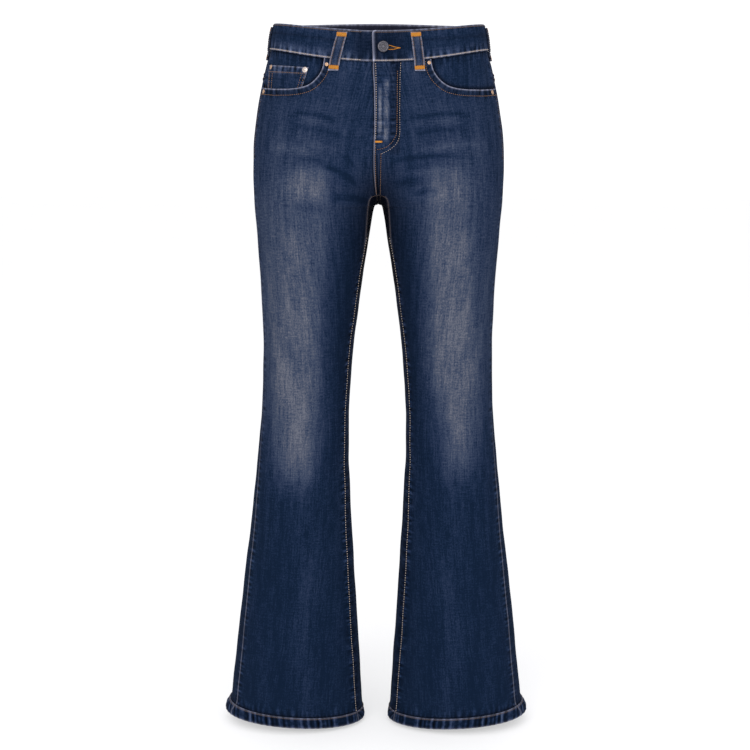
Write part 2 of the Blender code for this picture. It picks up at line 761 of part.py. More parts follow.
def build():
    for item in list(bpy.data.objects):
        bpy.data.objects.remove(item, do_unlink=True)
    denim = paint("denim_indigo", (0.030, 0.050, 0.115), 0.0, 0.9)
    dark = paint("denim_dark", (0.018, 0.032, 0.080), 0.0, 0.9)
    strip = paint("denim_band", (0.024, 0.040, 0.095), 0.0, 0.9)
    tape = paint("zip_tape", (0.05, 0.06, 0.09), 0.0, 0.8)
    copper = paint("rivet_copper", (0.55, 0.30, 0.16), 1.0, 0.4)
    pewter = paint("button_pewter", (0.35, 0.34, 0.34), 1.0, 0.4)
    for side, word in ((-1, "right"), (1, "left")):
        front_panel("front_" + word, side, denim)
        back_panel("back_" + word, side, denim)
        yoke("yoke_" + word, side, denim)
        depth = CLOTH + LAYER_GAP
        if side < 0:
            depth = depth + COIN_THICK + LAYER_GAP
        pocket_facing("pocket_facing_" + word, side, depth, dark)
        back_pocket("back_pocket_" + word, side, denim)
        hem("hem_" + word, side, strip)
    coin_pocket("coin_pocket", -1, dark)
    waistband("waistband", strip)
    fly_layer("fly_facing", -0.0040, 0.0350, -0.160, 0.0019, 0.0009, 0.030, dark)
    fly_layer("zip", -0.0120, 0.0170, -0.150, 0.0033, 0.0011, 0.004, tape)
    fly_layer("fly_shield", -0.0200, 0.0370, -0.164, 0.0049, 0.0010, 0.024, dark)
    for row in FRONT_LOOPS:
        front_loop(row, strip)
    round_loop("belt_loop_side_right", 1.035, -1, 0.0, strip)
    round_loop("belt_loop_side_left", 1.035, 1, 0.0, strip)
    round_loop("belt_loop_back", 2.0, 1, 0.0, strip)
    for row in RIVETS:
        rivet(row, copper)
    button(pewter)


build()
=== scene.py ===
import math

import bpy
import numpy as np
from mathutils import Matrix


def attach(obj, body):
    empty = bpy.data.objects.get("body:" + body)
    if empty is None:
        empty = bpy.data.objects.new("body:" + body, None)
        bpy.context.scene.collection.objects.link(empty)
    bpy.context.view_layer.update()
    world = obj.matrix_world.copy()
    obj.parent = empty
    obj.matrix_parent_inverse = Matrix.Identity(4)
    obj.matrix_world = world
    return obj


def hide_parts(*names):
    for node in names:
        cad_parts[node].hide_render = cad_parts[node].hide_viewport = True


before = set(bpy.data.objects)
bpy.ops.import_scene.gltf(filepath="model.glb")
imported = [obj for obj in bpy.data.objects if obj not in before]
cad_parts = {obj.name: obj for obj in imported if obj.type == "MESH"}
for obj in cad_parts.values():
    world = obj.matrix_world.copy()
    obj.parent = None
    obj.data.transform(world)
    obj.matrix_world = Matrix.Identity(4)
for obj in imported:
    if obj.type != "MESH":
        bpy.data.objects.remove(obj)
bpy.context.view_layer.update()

studio = {
    "cameraAt": (-0.0038, -2.2, -0.10),
    "pitchDown": 10.02,
    "roll": 0.24,
    "lens": 72.0,
    "floorHeight": -1.0275,
    "floorHalf": 14.0,
    "skyLight": 1.125,
    "keyWatts": 66.0,
    "fillWatts": 26.0,
}


def blenderLook():
    scene = bpy.context.scene
    scene.view_settings.view_transform = "Standard"
    scene.view_settings.look = "None"
    world = bpy.data.worlds.new("whiteRoom")
    world.use_nodes = True
    world.node_tree.nodes["Background"].inputs[0].default_value = (1.0, 1.0, 1.0, 1.0)
    world.node_tree.nodes["Background"].inputs[1].default_value = studio["skyLight"]
    scene.world = world


def softLight(name, at, towards, size, watts):
    lamp = bpy.data.lights.new(name, "AREA")
    lamp.shape = "RECTANGLE"
    lamp.size, lamp.size_y = size
    lamp.energy = watts
    item = bpy.data.objects.new(name, lamp)
    bpy.context.scene.collection.objects.link(item)
    aim = np.array(towards, float) - np.array(at, float)
    item.location = at
    item.rotation_euler = (math.atan2(math.hypot(aim[0], aim[1]), -aim[2]), 0.0, math.atan2(-aim[0], aim[1]))


def photoCamera():
    lens = bpy.data.cameras.new("photoCamera")
    lens.lens = studio["lens"]
    lens.sensor_width = 36.0
    lens.clip_end = 60.0
    camera = bpy.data.objects.new("photoCamera", lens)
    turn = (Matrix.Rotation(math.radians(90.0 - studio["pitchDown"]), 4, "X")
            @ Matrix.Rotation(math.radians(studio["roll"]), 4, "Z"))
    camera.matrix_world = Matrix.Translation(studio["cameraAt"]) @ turn
    bpy.context.scene.collection.objects.link(camera)
    bpy.context.scene.camera = camera


blenderLook()
photoCamera()
softLight("keyLight", (-0.9, -2.9, 1.1), (0.0, 0.0, -0.5), (2.6, 2.2), studio["keyWatts"])
softLight("fillLight", (1.5, -2.6, 0.2), (0.0, 0.0, -0.6), (1.8, 2.4), studio["fillWatts"])
print("stage: camera and light")

# The body and legs, as the pattern gives them.
# level, outer, sideY, frontX, frontY, backX, backY, square, seam degrees
girthRows = (
    (0.030, 0.1478, 0.002, 0.012, -0.0830, 0.020, 0.0870, 2.25, 12.0),
    (0.000, 0.1543, 0.002, 0.014, -0.0862, 0.026, 0.0905, 2.25, 12.0),
    (-0.020, 0.1568, 0.002, 0.016, -0.0885, 0.030, 0.0930, 2.25, 12.0),
    (-0.040, 0.1622, 0.002, 0.019, -0.0908, 0.038, 0.0972, 2.25, 12.5),
    (-0.060, 0.1668, 0.002, 0.023, -0.0928, 0.045, 0.1020, 2.25, 13.0),
    (-0.080, 0.1713, 0.002, 0.027, -0.0943, 0.051, 0.1065, 2.25, 13.0),
    (-0.100, 0.1748, 0.003, 0.032, -0.0955, 0.056, 0.1105, 2.25, 13.0),
    (-0.130, 0.1790, 0.003, 0.040, -0.0967, 0.064, 0.1150, 2.25, 13.5),
    (-0.160, 0.1818, 0.004, 0.050, -0.0966, 0.071, 0.1165, 2.24, 14.0),
    (-0.190, 0.1825, 0.005, 0.061, -0.0952, 0.077, 0.1140, 2.23, 14.5),
    (-0.215, 0.1818, 0.006, 0.071, -0.0932, 0.082, 0.1090, 2.21, 15.0),
    (-0.236, 0.1809, 0.008, 0.078, -0.0910, 0.087, 0.1030, 2.20, 15.5),
    (-0.260, 0.1792, 0.009, 0.083, -0.0888, 0.091, 0.0970, 2.19, 16.0),
    (-0.310, 0.1756, 0.010, 0.090, -0.0845, 0.096, 0.0895, 2.17, 17.0),
    (-0.370, 0.1719, 0.008, 0.097, -0.0805, 0.100, 0.0835, 2.15, 18.0),
    (-0.430, 0.1698, 0.006, 0.102, -0.0768, 0.103, 0.0770, 2.13, 19.0),
    (-0.490, 0.1706, 0.004, 0.106, -0.0728, 0.106, 0.0710, 2.12, 20.0),
    (-0.550, 0.1735, 0.002, 0.109, -0.0690, 0.109, 0.0675, 2.12, 21.0),
    (-0.610, 0.1793, 0.001, 0.112, -0.0668, 0.112, 0.0668, 2.12, 22.0),
    (-0.700, 0.1888, 0.000, 0.115, -0.0660, 0.115, 0.0675, 2.12, 24.5),
    (-0.800, 0.2014, 0.000, 0.118, -0.0670, 0.118, 0.0690, 2.12, 26.5),
    (-0.900, 0.2132, 0.000, 0.121, -0.0685, 0.121, 0.0702, 2.12, 27.0),
    (-0.970, 0.2204, 0.000, 0.123, -0.0695, 0.123, 0.0710, 2.12, 27.0),
    (-0.994, 0.2230, 0.000, 0.124, -0.0700, 0.124, 0.0714, 2.12, 27.0),
    (-1.002, 0.2262, 0.000, 0.124, -0.0703, 0.124, 0.0717, 2.12, 27.0),
    (-1.010, 0.2312, 0.000, 0.125, -0.0706, 0.125, 0.0720, 2.12, 27.0),
    (-1.030, 0.2330, 0.000, 0.125, -0.0708, 0.125, 0.0722, 2.12, 27.0),
)
# centre seam above the crotch: level, front y, back y
riseRows = (
    (0.030, -0.0830, 0.0865), (-0.060, -0.0927, 0.0995), (-0.100, -0.0951, 0.1060), (-0.140, -0.0955, 0.1095),
    (-0.165, -0.0915, 0.1075), (-0.185, -0.0825, 0.1010), (-0.205, -0.0660, 0.0860), (-0.218, -0.0480, 0.0690),
    (-0.226, -0.0330, 0.0540), (-0.231, -0.0190, 0.0400), (-0.2340, -0.0060, 0.0260), (-0.2355, 0.0100, 0.0100),
)
# inside of the leg: level, x, y, how far the seam lies to the front in degrees
inseamRows = (
    (-0.2355, 0.0000, 0.010, 0.0), (-0.2363, 0.0034, 0.010, 0.1), (-0.2380, 0.0051, 0.010, 0.8),
    (-0.2430, 0.0068, 0.010, 3.0), (-0.2527, 0.0088, 0.010, 8.0), (-0.2819, 0.0132, 0.009, 17.5),
    (-0.3112, 0.0176, 0.008, 20.5), (-0.3407, 0.0221, 0.007, 21.8), (-0.3703, 0.0266, 0.006, 22.0),
    (-0.4001, 0.0303, 0.005, 22.3), (-0.4300, 0.0341, 0.004, 22.6), (-0.4600, 0.0372, 0.003, 22.8),
    (-0.4902, 0.0395, 0.002, 23.0), (-0.5206, 0.0411, 0.001, 23.3), (-0.5510, 0.0427, 0.000, 23.5),
    (-0.6124, 0.0429, 0.000, 23.7), (-0.6433, 0.0415, 0.000, 24.2), (-0.7056, 0.0386, 0.000, 26.0),
    (-0.7684, 0.0350, 0.000, 26.4), (-0.8319, 0.0315, 0.000, 26.3), (-0.8960, 0.0277, 0.000, 25.8),
    (-0.9607, 0.0236, 0.000, 24.6), (-0.9935, 0.0217, 0.000, 24.0), (-1.0100, 0.0190, 0.000, 24.0),
    (-1.0300, 0.0170, 0.000, 24.0),
)
# dip of the rings at the front centre and rise at the back centre
sagRows = (
    (0.0300, 0.0118, 0.0055), (0.0204, 0.0123, 0.0055), (-0.0163, 0.0180, 0.0050), (-0.0600, 0.0160, 0.0040),
    (-0.1200, 0.0085, 0.0020), (-0.1800, 0.0020, 0.0005), (-0.2200, 0.0000, 0.0000), (-1.0300, 0.0000, 0.0000),
)
# front pocket edge from the waistband to the side seam
pocketRows = (
    (0.0741, -0.0300), (0.0748, -0.0375), (0.0765, -0.0445), (0.0817, -0.0535), (0.0897, -0.0618),
    (0.0986, -0.0673), (0.1103, -0.0702), (0.1255, -0.0716), (0.1450, -0.0716), (0.1590, -0.0706),
)
# how far the fly edge lies past the centre, down the front
flyRows = (
    (-0.2330, 0.0), (-0.2290, 0.0030), (-0.2230, 0.0060), (-0.2160, 0.0070), (-0.1800, 0.0075), (-0.1550, 0.0070),
    (-0.1320, 0.0066), (-0.1150, 0.0062), (-0.0900, 0.0061), (-0.0600, 0.0066), (-0.0470, 0.0070), (-0.0300, 0.0083),
)
cut = {
    "cloth": 0.0012, "seamGap": 0.00004, "layerGap": 0.0008, "coinThick": 0.0009,
    "bandTop": 0.0204, "bandLow": -0.0163, "bandProud": 0.0008, "bandThick": 0.0028,
    "overEnd": 0.0093, "underEnd": 0.030, "crotch": -0.2355, "crotchY": 0.010,
    "hemLow": -1.0170, "hemTop": -1.0000, "hemTilt": 0.0066,
    "pocketShift": 0.0020,
}
panelTop = cut["bandLow"] - cut["seamGap"]
panelLow = cut["hemTop"] + cut["seamGap"]

# creases: side, face, x, z, half length, half width, tilt degrees, depth, bend
creaseRows = (
    (-1, -1, 0.060, -0.160, 0.055, 0.011, -14.0, -0.0012, 0.3), (-1, -1, 0.070, -0.192, 0.062, 0.012, -6.0, 0.0014, 0.2),
    (-1, -1, 0.062, -0.216, 0.052, 0.010, 3.0, -0.0014, -0.2), (-1, -1, 0.058, -0.243, 0.046, 0.011, 14.0, -0.0012, 0.2),
    (1, -1, 0.064, -0.154, 0.058, 0.011, 16.0, -0.0011, -0.3), (1, -1, 0.066, -0.184, 0.060, 0.012, 8.0, 0.0013, 0.2),
    (1, -1, 0.066, -0.210, 0.056, 0.010, -2.0, -0.0014, 0.2), (1, -1, 0.056, -0.238, 0.044, 0.011, -12.0, -0.0013, -0.2),
    (-1, -1, 0.095, -0.520, 0.050, 0.016, -8.0, -0.0010, 0.4), (1, -1, 0.110, -0.545, 0.052, 0.016, 10.0, -0.0011, -0.4),
    (-1, 1, 0.075, -0.262, 0.056, 0.012, 12.0, -0.0016, 0.2), (-1, 1, 0.090, -0.300, 0.050, 0.013, 8.0, -0.0013, -0.2),
    (1, 1, 0.078, -0.266, 0.058, 0.012, -10.0, -0.0016, 0.2), (1, 1, 0.086, -0.308, 0.048, 0.013, -14.0, -0.0012, 0.2),
    (-1, 1, 0.106, -0.500, 0.054, 0.012, 6.0, -0.0018, 0.3), (-1, 1, 0.104, -0.545, 0.050, 0.012, -5.0, -0.0015, -0.3),
    (1, 1, 0.104, -0.508, 0.056, 0.012, -7.0, -0.0018, -0.3), (1, 1, 0.108, -0.556, 0.050, 0.012, 4.0, -0.0014, 0.3),
    # finer ones, front
    (-1, -1, 0.050, -0.176, 0.040, 0.006, -10.0, 0.0006, 0.2), (1, -1, 0.052, -0.171, 0.042, 0.006, 12.0, 0.0006, -0.2),
    (-1, -1, 0.040, -0.203, 0.034, 0.005, -3.0, 0.0007, 0.1), (1, -1, 0.042, -0.198, 0.036, 0.005, 3.0, 0.0007, 0.1),
    (-1, -1, 0.046, -0.229, 0.034, 0.006, 9.0, 0.0007, 0.1), (1, -1, 0.044, -0.225, 0.034, 0.006, -8.0, 0.0007, 0.1),
    (-1, -1, 0.118, -0.150, 0.050, 0.010, 18.0, 0.0007, 0.3), (1, -1, 0.122, -0.142, 0.050, 0.010, -16.0, 0.0007, -0.3),
    (-1, -1, 0.060, -0.290, 0.046, 0.010, 30.0, -0.0007, 0.2), (1, -1, 0.060, -0.292, 0.048, 0.010, -32.0, -0.0007, 0.2),
    (-1, -1, 0.085, -0.420, 0.052, 0.013, -24.0, -0.0006, 0.3), (1, -1, 0.096, -0.430, 0.055, 0.013, 22.0, -0.0006, -0.3),
    (-1, -1, 0.112, -0.487, 0.044, 0.011, 12.0, 0.0007, -0.3), (1, -1, 0.100, -0.505, 0.046, 0.011, -12.0, 0.0007, 0.3),
    (-1, -1, 0.100, -0.556, 0.048, 0.012, 7.0, 0.0007, 0.3), (1, -1, 0.108, -0.580, 0.046, 0.012, -6.0, 0.0007, -0.3),
    (-1, -1, 0.120, -0.620, 0.060, 0.016, -16.0, -0.0007, 0.3), (1, -1, 0.118, -0.640, 0.060, 0.016, 14.0, -0.0007, 0.2),
    (-1, -1, 0.105, -0.760, 0.110, 0.014, 84.0, 0.0009, 0.2), (1, -1, 0.112, -0.780, 0.110, 0.014, -82.0, 0.0009, 0.2),
    (-1, -1, 0.160, -0.820, 0.130, 0.014, 78.0, -0.0009, 0.2), (1, -1, 0.160, -0.800, 0.130, 0.014, -78.0, -0.0009, 0.2),
    (-1, -1, 0.080, -0.900, 0.100, 0.012, 92.0, -0.0008, 0.2), (1, -1, 0.085, -0.905, 0.100, 0.012, -92.0, -0.0008, 0.2),
    # finer ones, back
    (-1, 1, 0.060, -0.236, 0.044, 0.008, 20.0, 0.0009, 0.2), (1, 1, 0.062, -0.240, 0.044, 0.008, -18.0, 0.0009, 0.2),
    (-1, 1, 0.085, -0.282, 0.046, 0.008, 10.0, 0.0009, 0.2), (1, 1, 0.084, -0.287, 0.046, 0.008, -12.0, 0.0009, 0.2),
    (-1, 1, 0.100, -0.340, 0.050, 0.012, 8.0, -0.0008, 0.2), (1, 1, 0.098, -0.350, 0.050, 0.012, -9.0, -0.0008, 0.2),
    (-1, 1, 0.106, -0.474, 0.048, 0.009, -10.0, 0.0010, 0.3), (1, 1, 0.104, -0.480, 0.048, 0.009, 12.0, 0.0010, -0.3),
    (-1, 1, 0.105, -0.523, 0.050, 0.008, 3.0, 0.0011, 0.2), (1, 1, 0.106, -0.532, 0.050, 0.008, -3.0, 0.0011, 0.2),
    (-1, 1, 0.108, -0.572, 0.048, 0.009, 9.0, 0.0009, 0.2), (1, 1, 0.107, -0.582, 0.048, 0.009, -8.0, 0.0009, 0.2),
    (-1, 1, 0.110, -0.610, 0.046, 0.012, -12.0, -0.0008, 0.2), (1, 1, 0.112, -0.620, 0.046, 0.012, 12.0, -0.0008, 0.2),
    (-1, 1, 0.110, -0.800, 0.130, 0.016, 86.0, 0.0010, 0.2), (1, 1, 0.114, -0.790, 0.130, 0.016, -86.0, 0.0010, 0.2),
    (-1, 1, 0.165, -0.840, 0.120, 0.015, 80.0, -0.0009, 0.2), (1, 1, 0.165, -0.830, 0.120, 0.015, -80.0, -0.0009, 0.2),
)


def smooth(rows, column):
    # Curve through a column of a table that never overshoots its rows.
    order = sorted(rows)
    xs = np.array([row[0] for row in order], float)
    ys = np.array([row[column] for row in order], float)
    step = np.diff(xs)
    slope = np.diff(ys) / step
    ends = np.concatenate(([slope[0]], slope, [slope[-1]]))
    left, right = ends[:-1], ends[1:]
    same = left * right > 0
    tangent = np.where(same, 2.0 * left * right / np.where(same, left + right, 1.0), 0.0)

    def value(x):
        x = np.clip(x, xs[0], xs[-1])
        i = np.minimum(np.searchsorted(xs, x, side="right") - 1, len(step) - 1)
        h = step[i]
        t = (x - xs[i]) / h
        return ((1 + 2 * t) * (1 - t) ** 2 * ys[i] + t * (1 - t) ** 2 * h * tangent[i]
                + t * t * (3 - 2 * t) * ys[i + 1] + t * t * (t - 1) * h * tangent[i + 1])

    return value


def ease(low, high, x):
    t = np.clip((np.asarray(x, float) - low) / (high - low), 0.0, 1.0)
    return t * t * (3 - 2 * t)


def bell(x, half):
    return np.exp(-(x / half) ** 2)


girth = [smooth(girthRows, i) for i in range(1, 9)]
rise = [smooth(riseRows, i) for i in (1, 2)]
inseam = [smooth(inseamRows, i) for i in (1, 2, 3)]
sag = [smooth(sagRows, i) for i in (1, 2)]


def ringAt(level):
    # Half of the body, or one leg, at a height: front arc, then back arc, each with its lengths.
    outer, sideY, frontX, frontY, backX, backY, square, seam = [float(curve(level)) for curve in girth]
    if level > cut["crotch"]:
        inner, middle, turn = 0.0, cut["crotchY"], 0.0
        frontEnd, backEnd = float(rise[0](level)), float(rise[1](level))
    else:
        inner, middle, turn = [float(curve(level)) for curve in inseam]
        frontEnd = backEnd = middle
        turn = math.radians(turn)
    power = 2.0 / square
    seam = math.radians(seam)
    quarter = 0.5 * math.pi

    def innerArc(edgeX, edgeY, endY, share):
        full = math.acos(min((endY - middle) / (edgeY - middle), 0.9998))
        wide = (edgeX - inner) / math.sin(full)
        t = full * share
        return np.column_stack((edgeX - wide * np.sin(t), middle + (edgeY - middle) * np.cos(t)))

    def outerArc(edgeX, edgeY, t):
        return np.column_stack((edgeX + (outer - edgeX) * np.cos(t) ** power,
                                sideY + (edgeY - sideY) * np.sin(t) ** power))

    front = np.vstack((innerArc(frontX, frontY, frontEnd, np.linspace(1.0 - turn / quarter, 0.0, 40)),
                       outerArc(frontX, frontY, np.linspace(quarter, seam, 60)[1:])))
    parts = [outerArc(frontX, frontY, np.linspace(seam, 0.0, 20)), outerArc(backX, backY, np.linspace(0.0, quarter, 60)[1:]),
             innerArc(backX, backY, backEnd, np.linspace(0.0, 1.0, 40)[1:])]
    if turn > 0:
        parts.append(innerArc(frontX, frontY, frontEnd, np.linspace(1.0, 1.0 - turn / quarter, 12)[1:]))
    back = np.vstack(parts)
    arcs = []
    for points in (front, back):
        length = np.concatenate(([0.0], np.cumsum(np.hypot(*np.diff(points, axis=0).T))))
        arcs.append((length, points))
    return arcs, outer, inner, sideY


levels = np.unique(np.round(np.concatenate((
    np.linspace(0.030, -0.17, 110), np.linspace(-0.17, -0.231, 90), np.linspace(-0.231, -0.2375, 70),
    np.linspace(-0.2375, -0.30, 80), np.linspace(-0.30, -1.03, 260))), 6))


def clothLattice():
    places = np.zeros((len(levels), 201, 3))
    lengths = np.zeros((len(levels), 2))
    share = np.linspace(0.0, 1.0, 101)
    for i, level in enumerate(levels):
        arcs, outer, inner, sideY = ringAt(float(level))
        for k, (length, points) in enumerate(arcs):
            lengths[i, k] = length[-1]
            x = np.interp(share * length[-1], length, points[:, 0])
            y = np.interp(share * length[-1], length, points[:, 1])
            wide = np.maximum(1.0 - (x / outer) ** 2, 0.0) ** 1.2
            z = level + np.where(y < sideY, -float(sag[0](level)), float(sag[1](level))) * wide
            if level < -0.90:
                z = z + cut["hemTilt"] * ease(0.90, 0.995, -level) * (x - 0.5 * (outer + inner)) / (0.5 * (outer - inner))
            places[i, 100 * k:100 * k + 101] = np.column_stack((x, y, z))
    roundWay = np.gradient(places, np.linspace(0.0, 2.0, 201), axis=1)
    upWay = np.gradient(places, levels, axis=0)
    out = np.cross(roundWay, upWay)
    out /= np.linalg.norm(out, axis=2, keepdims=True)
    below = levels <= cut["crotch"]
    both = out[below, 0] + out[below, 200]
    both /= np.maximum(np.linalg.norm(both, axis=1, keepdims=True), 1e-9)
    out[below, 0] = both
    out[below, 200] = both
    high = levels > -0.17
    out[high, :, 0] *= ease(0.0, 0.012, places[high, :, 0])
    out /= np.linalg.norm(out, axis=2, keepdims=True)
    return places, out, lengths


latticePlaces, latticeOut, latticeLengths = clothLattice()


def sample(table, level, along):
    i = np.clip(np.searchsorted(levels, level, side="right") - 1, 0, len(levels) - 2)
    s = np.clip((level - levels[i]) / (levels[i + 1] - levels[i]), 0.0, 1.0)[..., None]
    a = np.clip(along, 0.0, 2.0) * 100.0
    j = np.clip(a.astype(int), 0, 199)
    t = (a - j)[..., None]
    return (table[i, j] * (1 - s) * (1 - t) + table[i + 1, j] * s * (1 - t)
            + table[i, j + 1] * (1 - s) * t + table[i + 1, j + 1] * s * t)


def frontLength(level):
    return np.interp(level, levels, latticeLengths[:, 0])


def backLength(level):
    return np.interp(level, levels, latticeLengths[:, 1])


def creaseDepth(hand, x, y, z):
    # Listed troughs and ridges, then a slow unevenness of the cloth.
    total = np.zeros_like(x)
    for side, face, midX, midZ, halfLong, halfWide, tilt, depth, bend in creaseRows:
        turn = math.radians(tilt)
        dx, dz = x - midX, z - midZ
        along = (dx * math.cos(turn) + dz * math.sin(turn)) / halfLong
        across = -dx * math.sin(turn) + dz * math.cos(turn) + bend * halfWide * along * along
        hit = (hand == side) & (face * y > 0) & (np.abs(along) < 1.0)
        width = halfWide * (1.0 + 0.25 * along)
        total += np.where(hit, depth * (1 - along * along) ** 2 * bell(across, width), 0.0)
    slow = (np.sin(x * 71 + z * 23 + hand) * np.sin(z * 47 - x * 19 + 2 * hand) + 0.6 * np.sin(x * 120 - z * 38 + y * 90 + hand)
            * np.sin(z * 81 + y * 60)) * 0.00035
    return (total + slow * ease(-0.03, -0.10, z) * ease(-1.0, -0.96, z)) * ease(0.0, 0.010, x)


def onCloth(level, along, side):
    # Point and outward direction; a place past a centre seam goes on round the other half.
    level, along, hand = np.broadcast_arrays(np.asarray(level, float), np.asarray(along, float), np.asarray(side, float))
    flipped = np.where(along < 0, -1.0, 1.0)
    a = np.abs(along)
    flipped = np.where(a > 2.0, -flipped, flipped)
    a = np.where(a > 2.0, 4.0 - a, a)
    flipped = np.where(a < 0, -flipped, flipped)
    a = np.abs(a)
    point = sample(latticePlaces, level, a)
    out = sample(latticeOut, level, a)
    out /= np.linalg.norm(out, axis=-1, keepdims=True)
    hand = hand * flipped
    point = point + out * creaseDepth(hand, point[..., 0], point[..., 1], point[..., 2])[..., None]
    flip = np.stack((hand, np.ones_like(hand), np.ones_like(hand)), -1)
    return point * flip, out * flip


def findPlace(x, z, face):
    # Level and place along the cloth of points seen from the front or from the back.
    xs, zs = np.atleast_1d(np.asarray(x, float)), np.atleast_1d(np.asarray(z, float))
    found = []
    for px, pz in zip(xs, zs):
        level, along = pz, 0.0
        for _ in range(10):
            i = int(np.clip(np.searchsorted(levels, level) - 1, 0, len(levels) - 2))
            s = (level - levels[i]) / (levels[i + 1] - levels[i])
            row = latticePlaces[i] * (1 - s) + latticePlaces[i + 1] * s
            if face < 0:
                along = float(np.interp(abs(px), row[:101, 0], np.linspace(0.0, 1.0, 101)))
            else:
                start = 100 + int(np.argmax(row[100:, 0]))
                along = float(np.interp(abs(px), row[start:, 0][::-1], np.linspace(0.0, 2.0, 201)[start:][::-1]))
            here = sample(latticePlaces, np.array(level), np.array(along))
            level = float(np.clip(level + pz - here[2], -1.029, 0.029))
        found.append((level, along, -1.0 if px < 0 else 1.0))
    return np.array(found).T


print("stage: cloth form", len(levels), "levels")

# how the dye looks as the wash takes it off, from unwashed to the palest streaks
dyes = {
    "wash": ((0.00, (0.0026, 0.0080, 0.0220)), (0.10, (0.0054, 0.0128, 0.0335)), (0.26, (0.0128, 0.0214, 0.0480)),
             (0.52, (0.0300, 0.0410, 0.0720)), (0.70, (0.0485, 0.0570, 0.0850)), (1.00, (0.0880, 0.0940, 0.1200))),
    # near black: the darkest dye, and painted shade in the crotch, in seam grooves and under edges
    "deep": (0.0005, 0.0010, 0.0038),
    "worn": (0.1800, 0.1850, 0.2450),
    "inside": (0.0300, 0.0360, 0.0560),
    # inside of the waistband: dark denim, with painted shade inside the waist
    "bandInside": (0.0078, 0.0084, 0.0165),
}


def graph(name):
    material = bpy.data.materials.new(name)
    material.use_nodes = True
    tree = material.node_tree
    tree.nodes.clear()

    def put(kind, *values, **settings):
        node = tree.nodes.new("ShaderNode" + kind)
        for key, value in settings.items():
            setattr(node, key, value)
        for i, value in enumerate(values):
            if isinstance(value, bpy.types.NodeSocket):
                tree.links.new(value, node.inputs[i])
            elif value is not None:
                node.inputs[i].default_value = value
        return node.outputs[0]

    def calc(way, a, b=None, c=None, clamp=False):
        return put("Math", a, b, c, operation=way, use_clamp=clamp)

    def blendColour(share, a, b):
        node = tree.nodes.new("ShaderNodeMix")
        node.data_type = "RGBA"
        for i, value in ((0, share), (6, a), (7, b)):
            if isinstance(value, bpy.types.NodeSocket):
                tree.links.new(value, node.inputs[i])
            else:
                node.inputs[i].default_value = value if i == 0 else (*value, 1.0)
        return node.outputs[2]

    def grain(across, down, seed, detail=2.0, rough=0.5):
        # Noise over a flat place given in metres, already scaled.
        place = put("CombineXYZ", across, down, seed)
        node = tree.nodes.new("ShaderNodeTexNoise")
        tree.links.new(place, node.inputs["Vector"])
        node.inputs["Scale"].default_value = 1.0
        node.inputs["Detail"].default_value = detail
        node.inputs["Roughness"].default_value = rough
        return node.outputs[0]

    return material, tree, put, calc, blendColour, grain


def spread(tree, place):
    # The three parts of a place.
    parts = tree.nodes.new("ShaderNodeSeparateXYZ")
    tree.links.new(place, parts.inputs[0])
    return parts.outputs[:]


def finishMaterial(tree, colour, rough, metallic=0.0, specular=0.2, height=None, bump=0.5, reach=0.0005, glow=0.0):
    shader = tree.nodes.new("ShaderNodeBsdfPrincipled")
    tree.links.new(colour, shader.inputs["Base Color"])
    shader.inputs["Roughness"].default_value = rough
    shader.inputs["Metallic"].default_value = metallic
    shader.inputs["Specular IOR Level"].default_value = specular
    shader.inputs["Emission Color"].default_value = (1.0, 1.0, 1.0, 1.0)
    shader.inputs["Emission Strength"].default_value = glow
    if height is not None:
        node = tree.nodes.new("ShaderNodeBump")
        node.inputs["Strength"].default_value = bump
        node.inputs["Distance"].default_value = reach
        tree.links.new(height, node.inputs["Height"])
        tree.links.new(node.outputs[0], shader.inputs["Normal"])
    out = tree.nodes.new("ShaderNodeOutputMaterial")
    tree.links.new(shader.outputs[0], out.inputs[0])


cloth = {"speck": 1.30, "slub": 1.00, "streak": 0.65, "brush": 0.80, "weft": 0.50, "least": 0.044, "most": 0.098, "twill": 0.05}


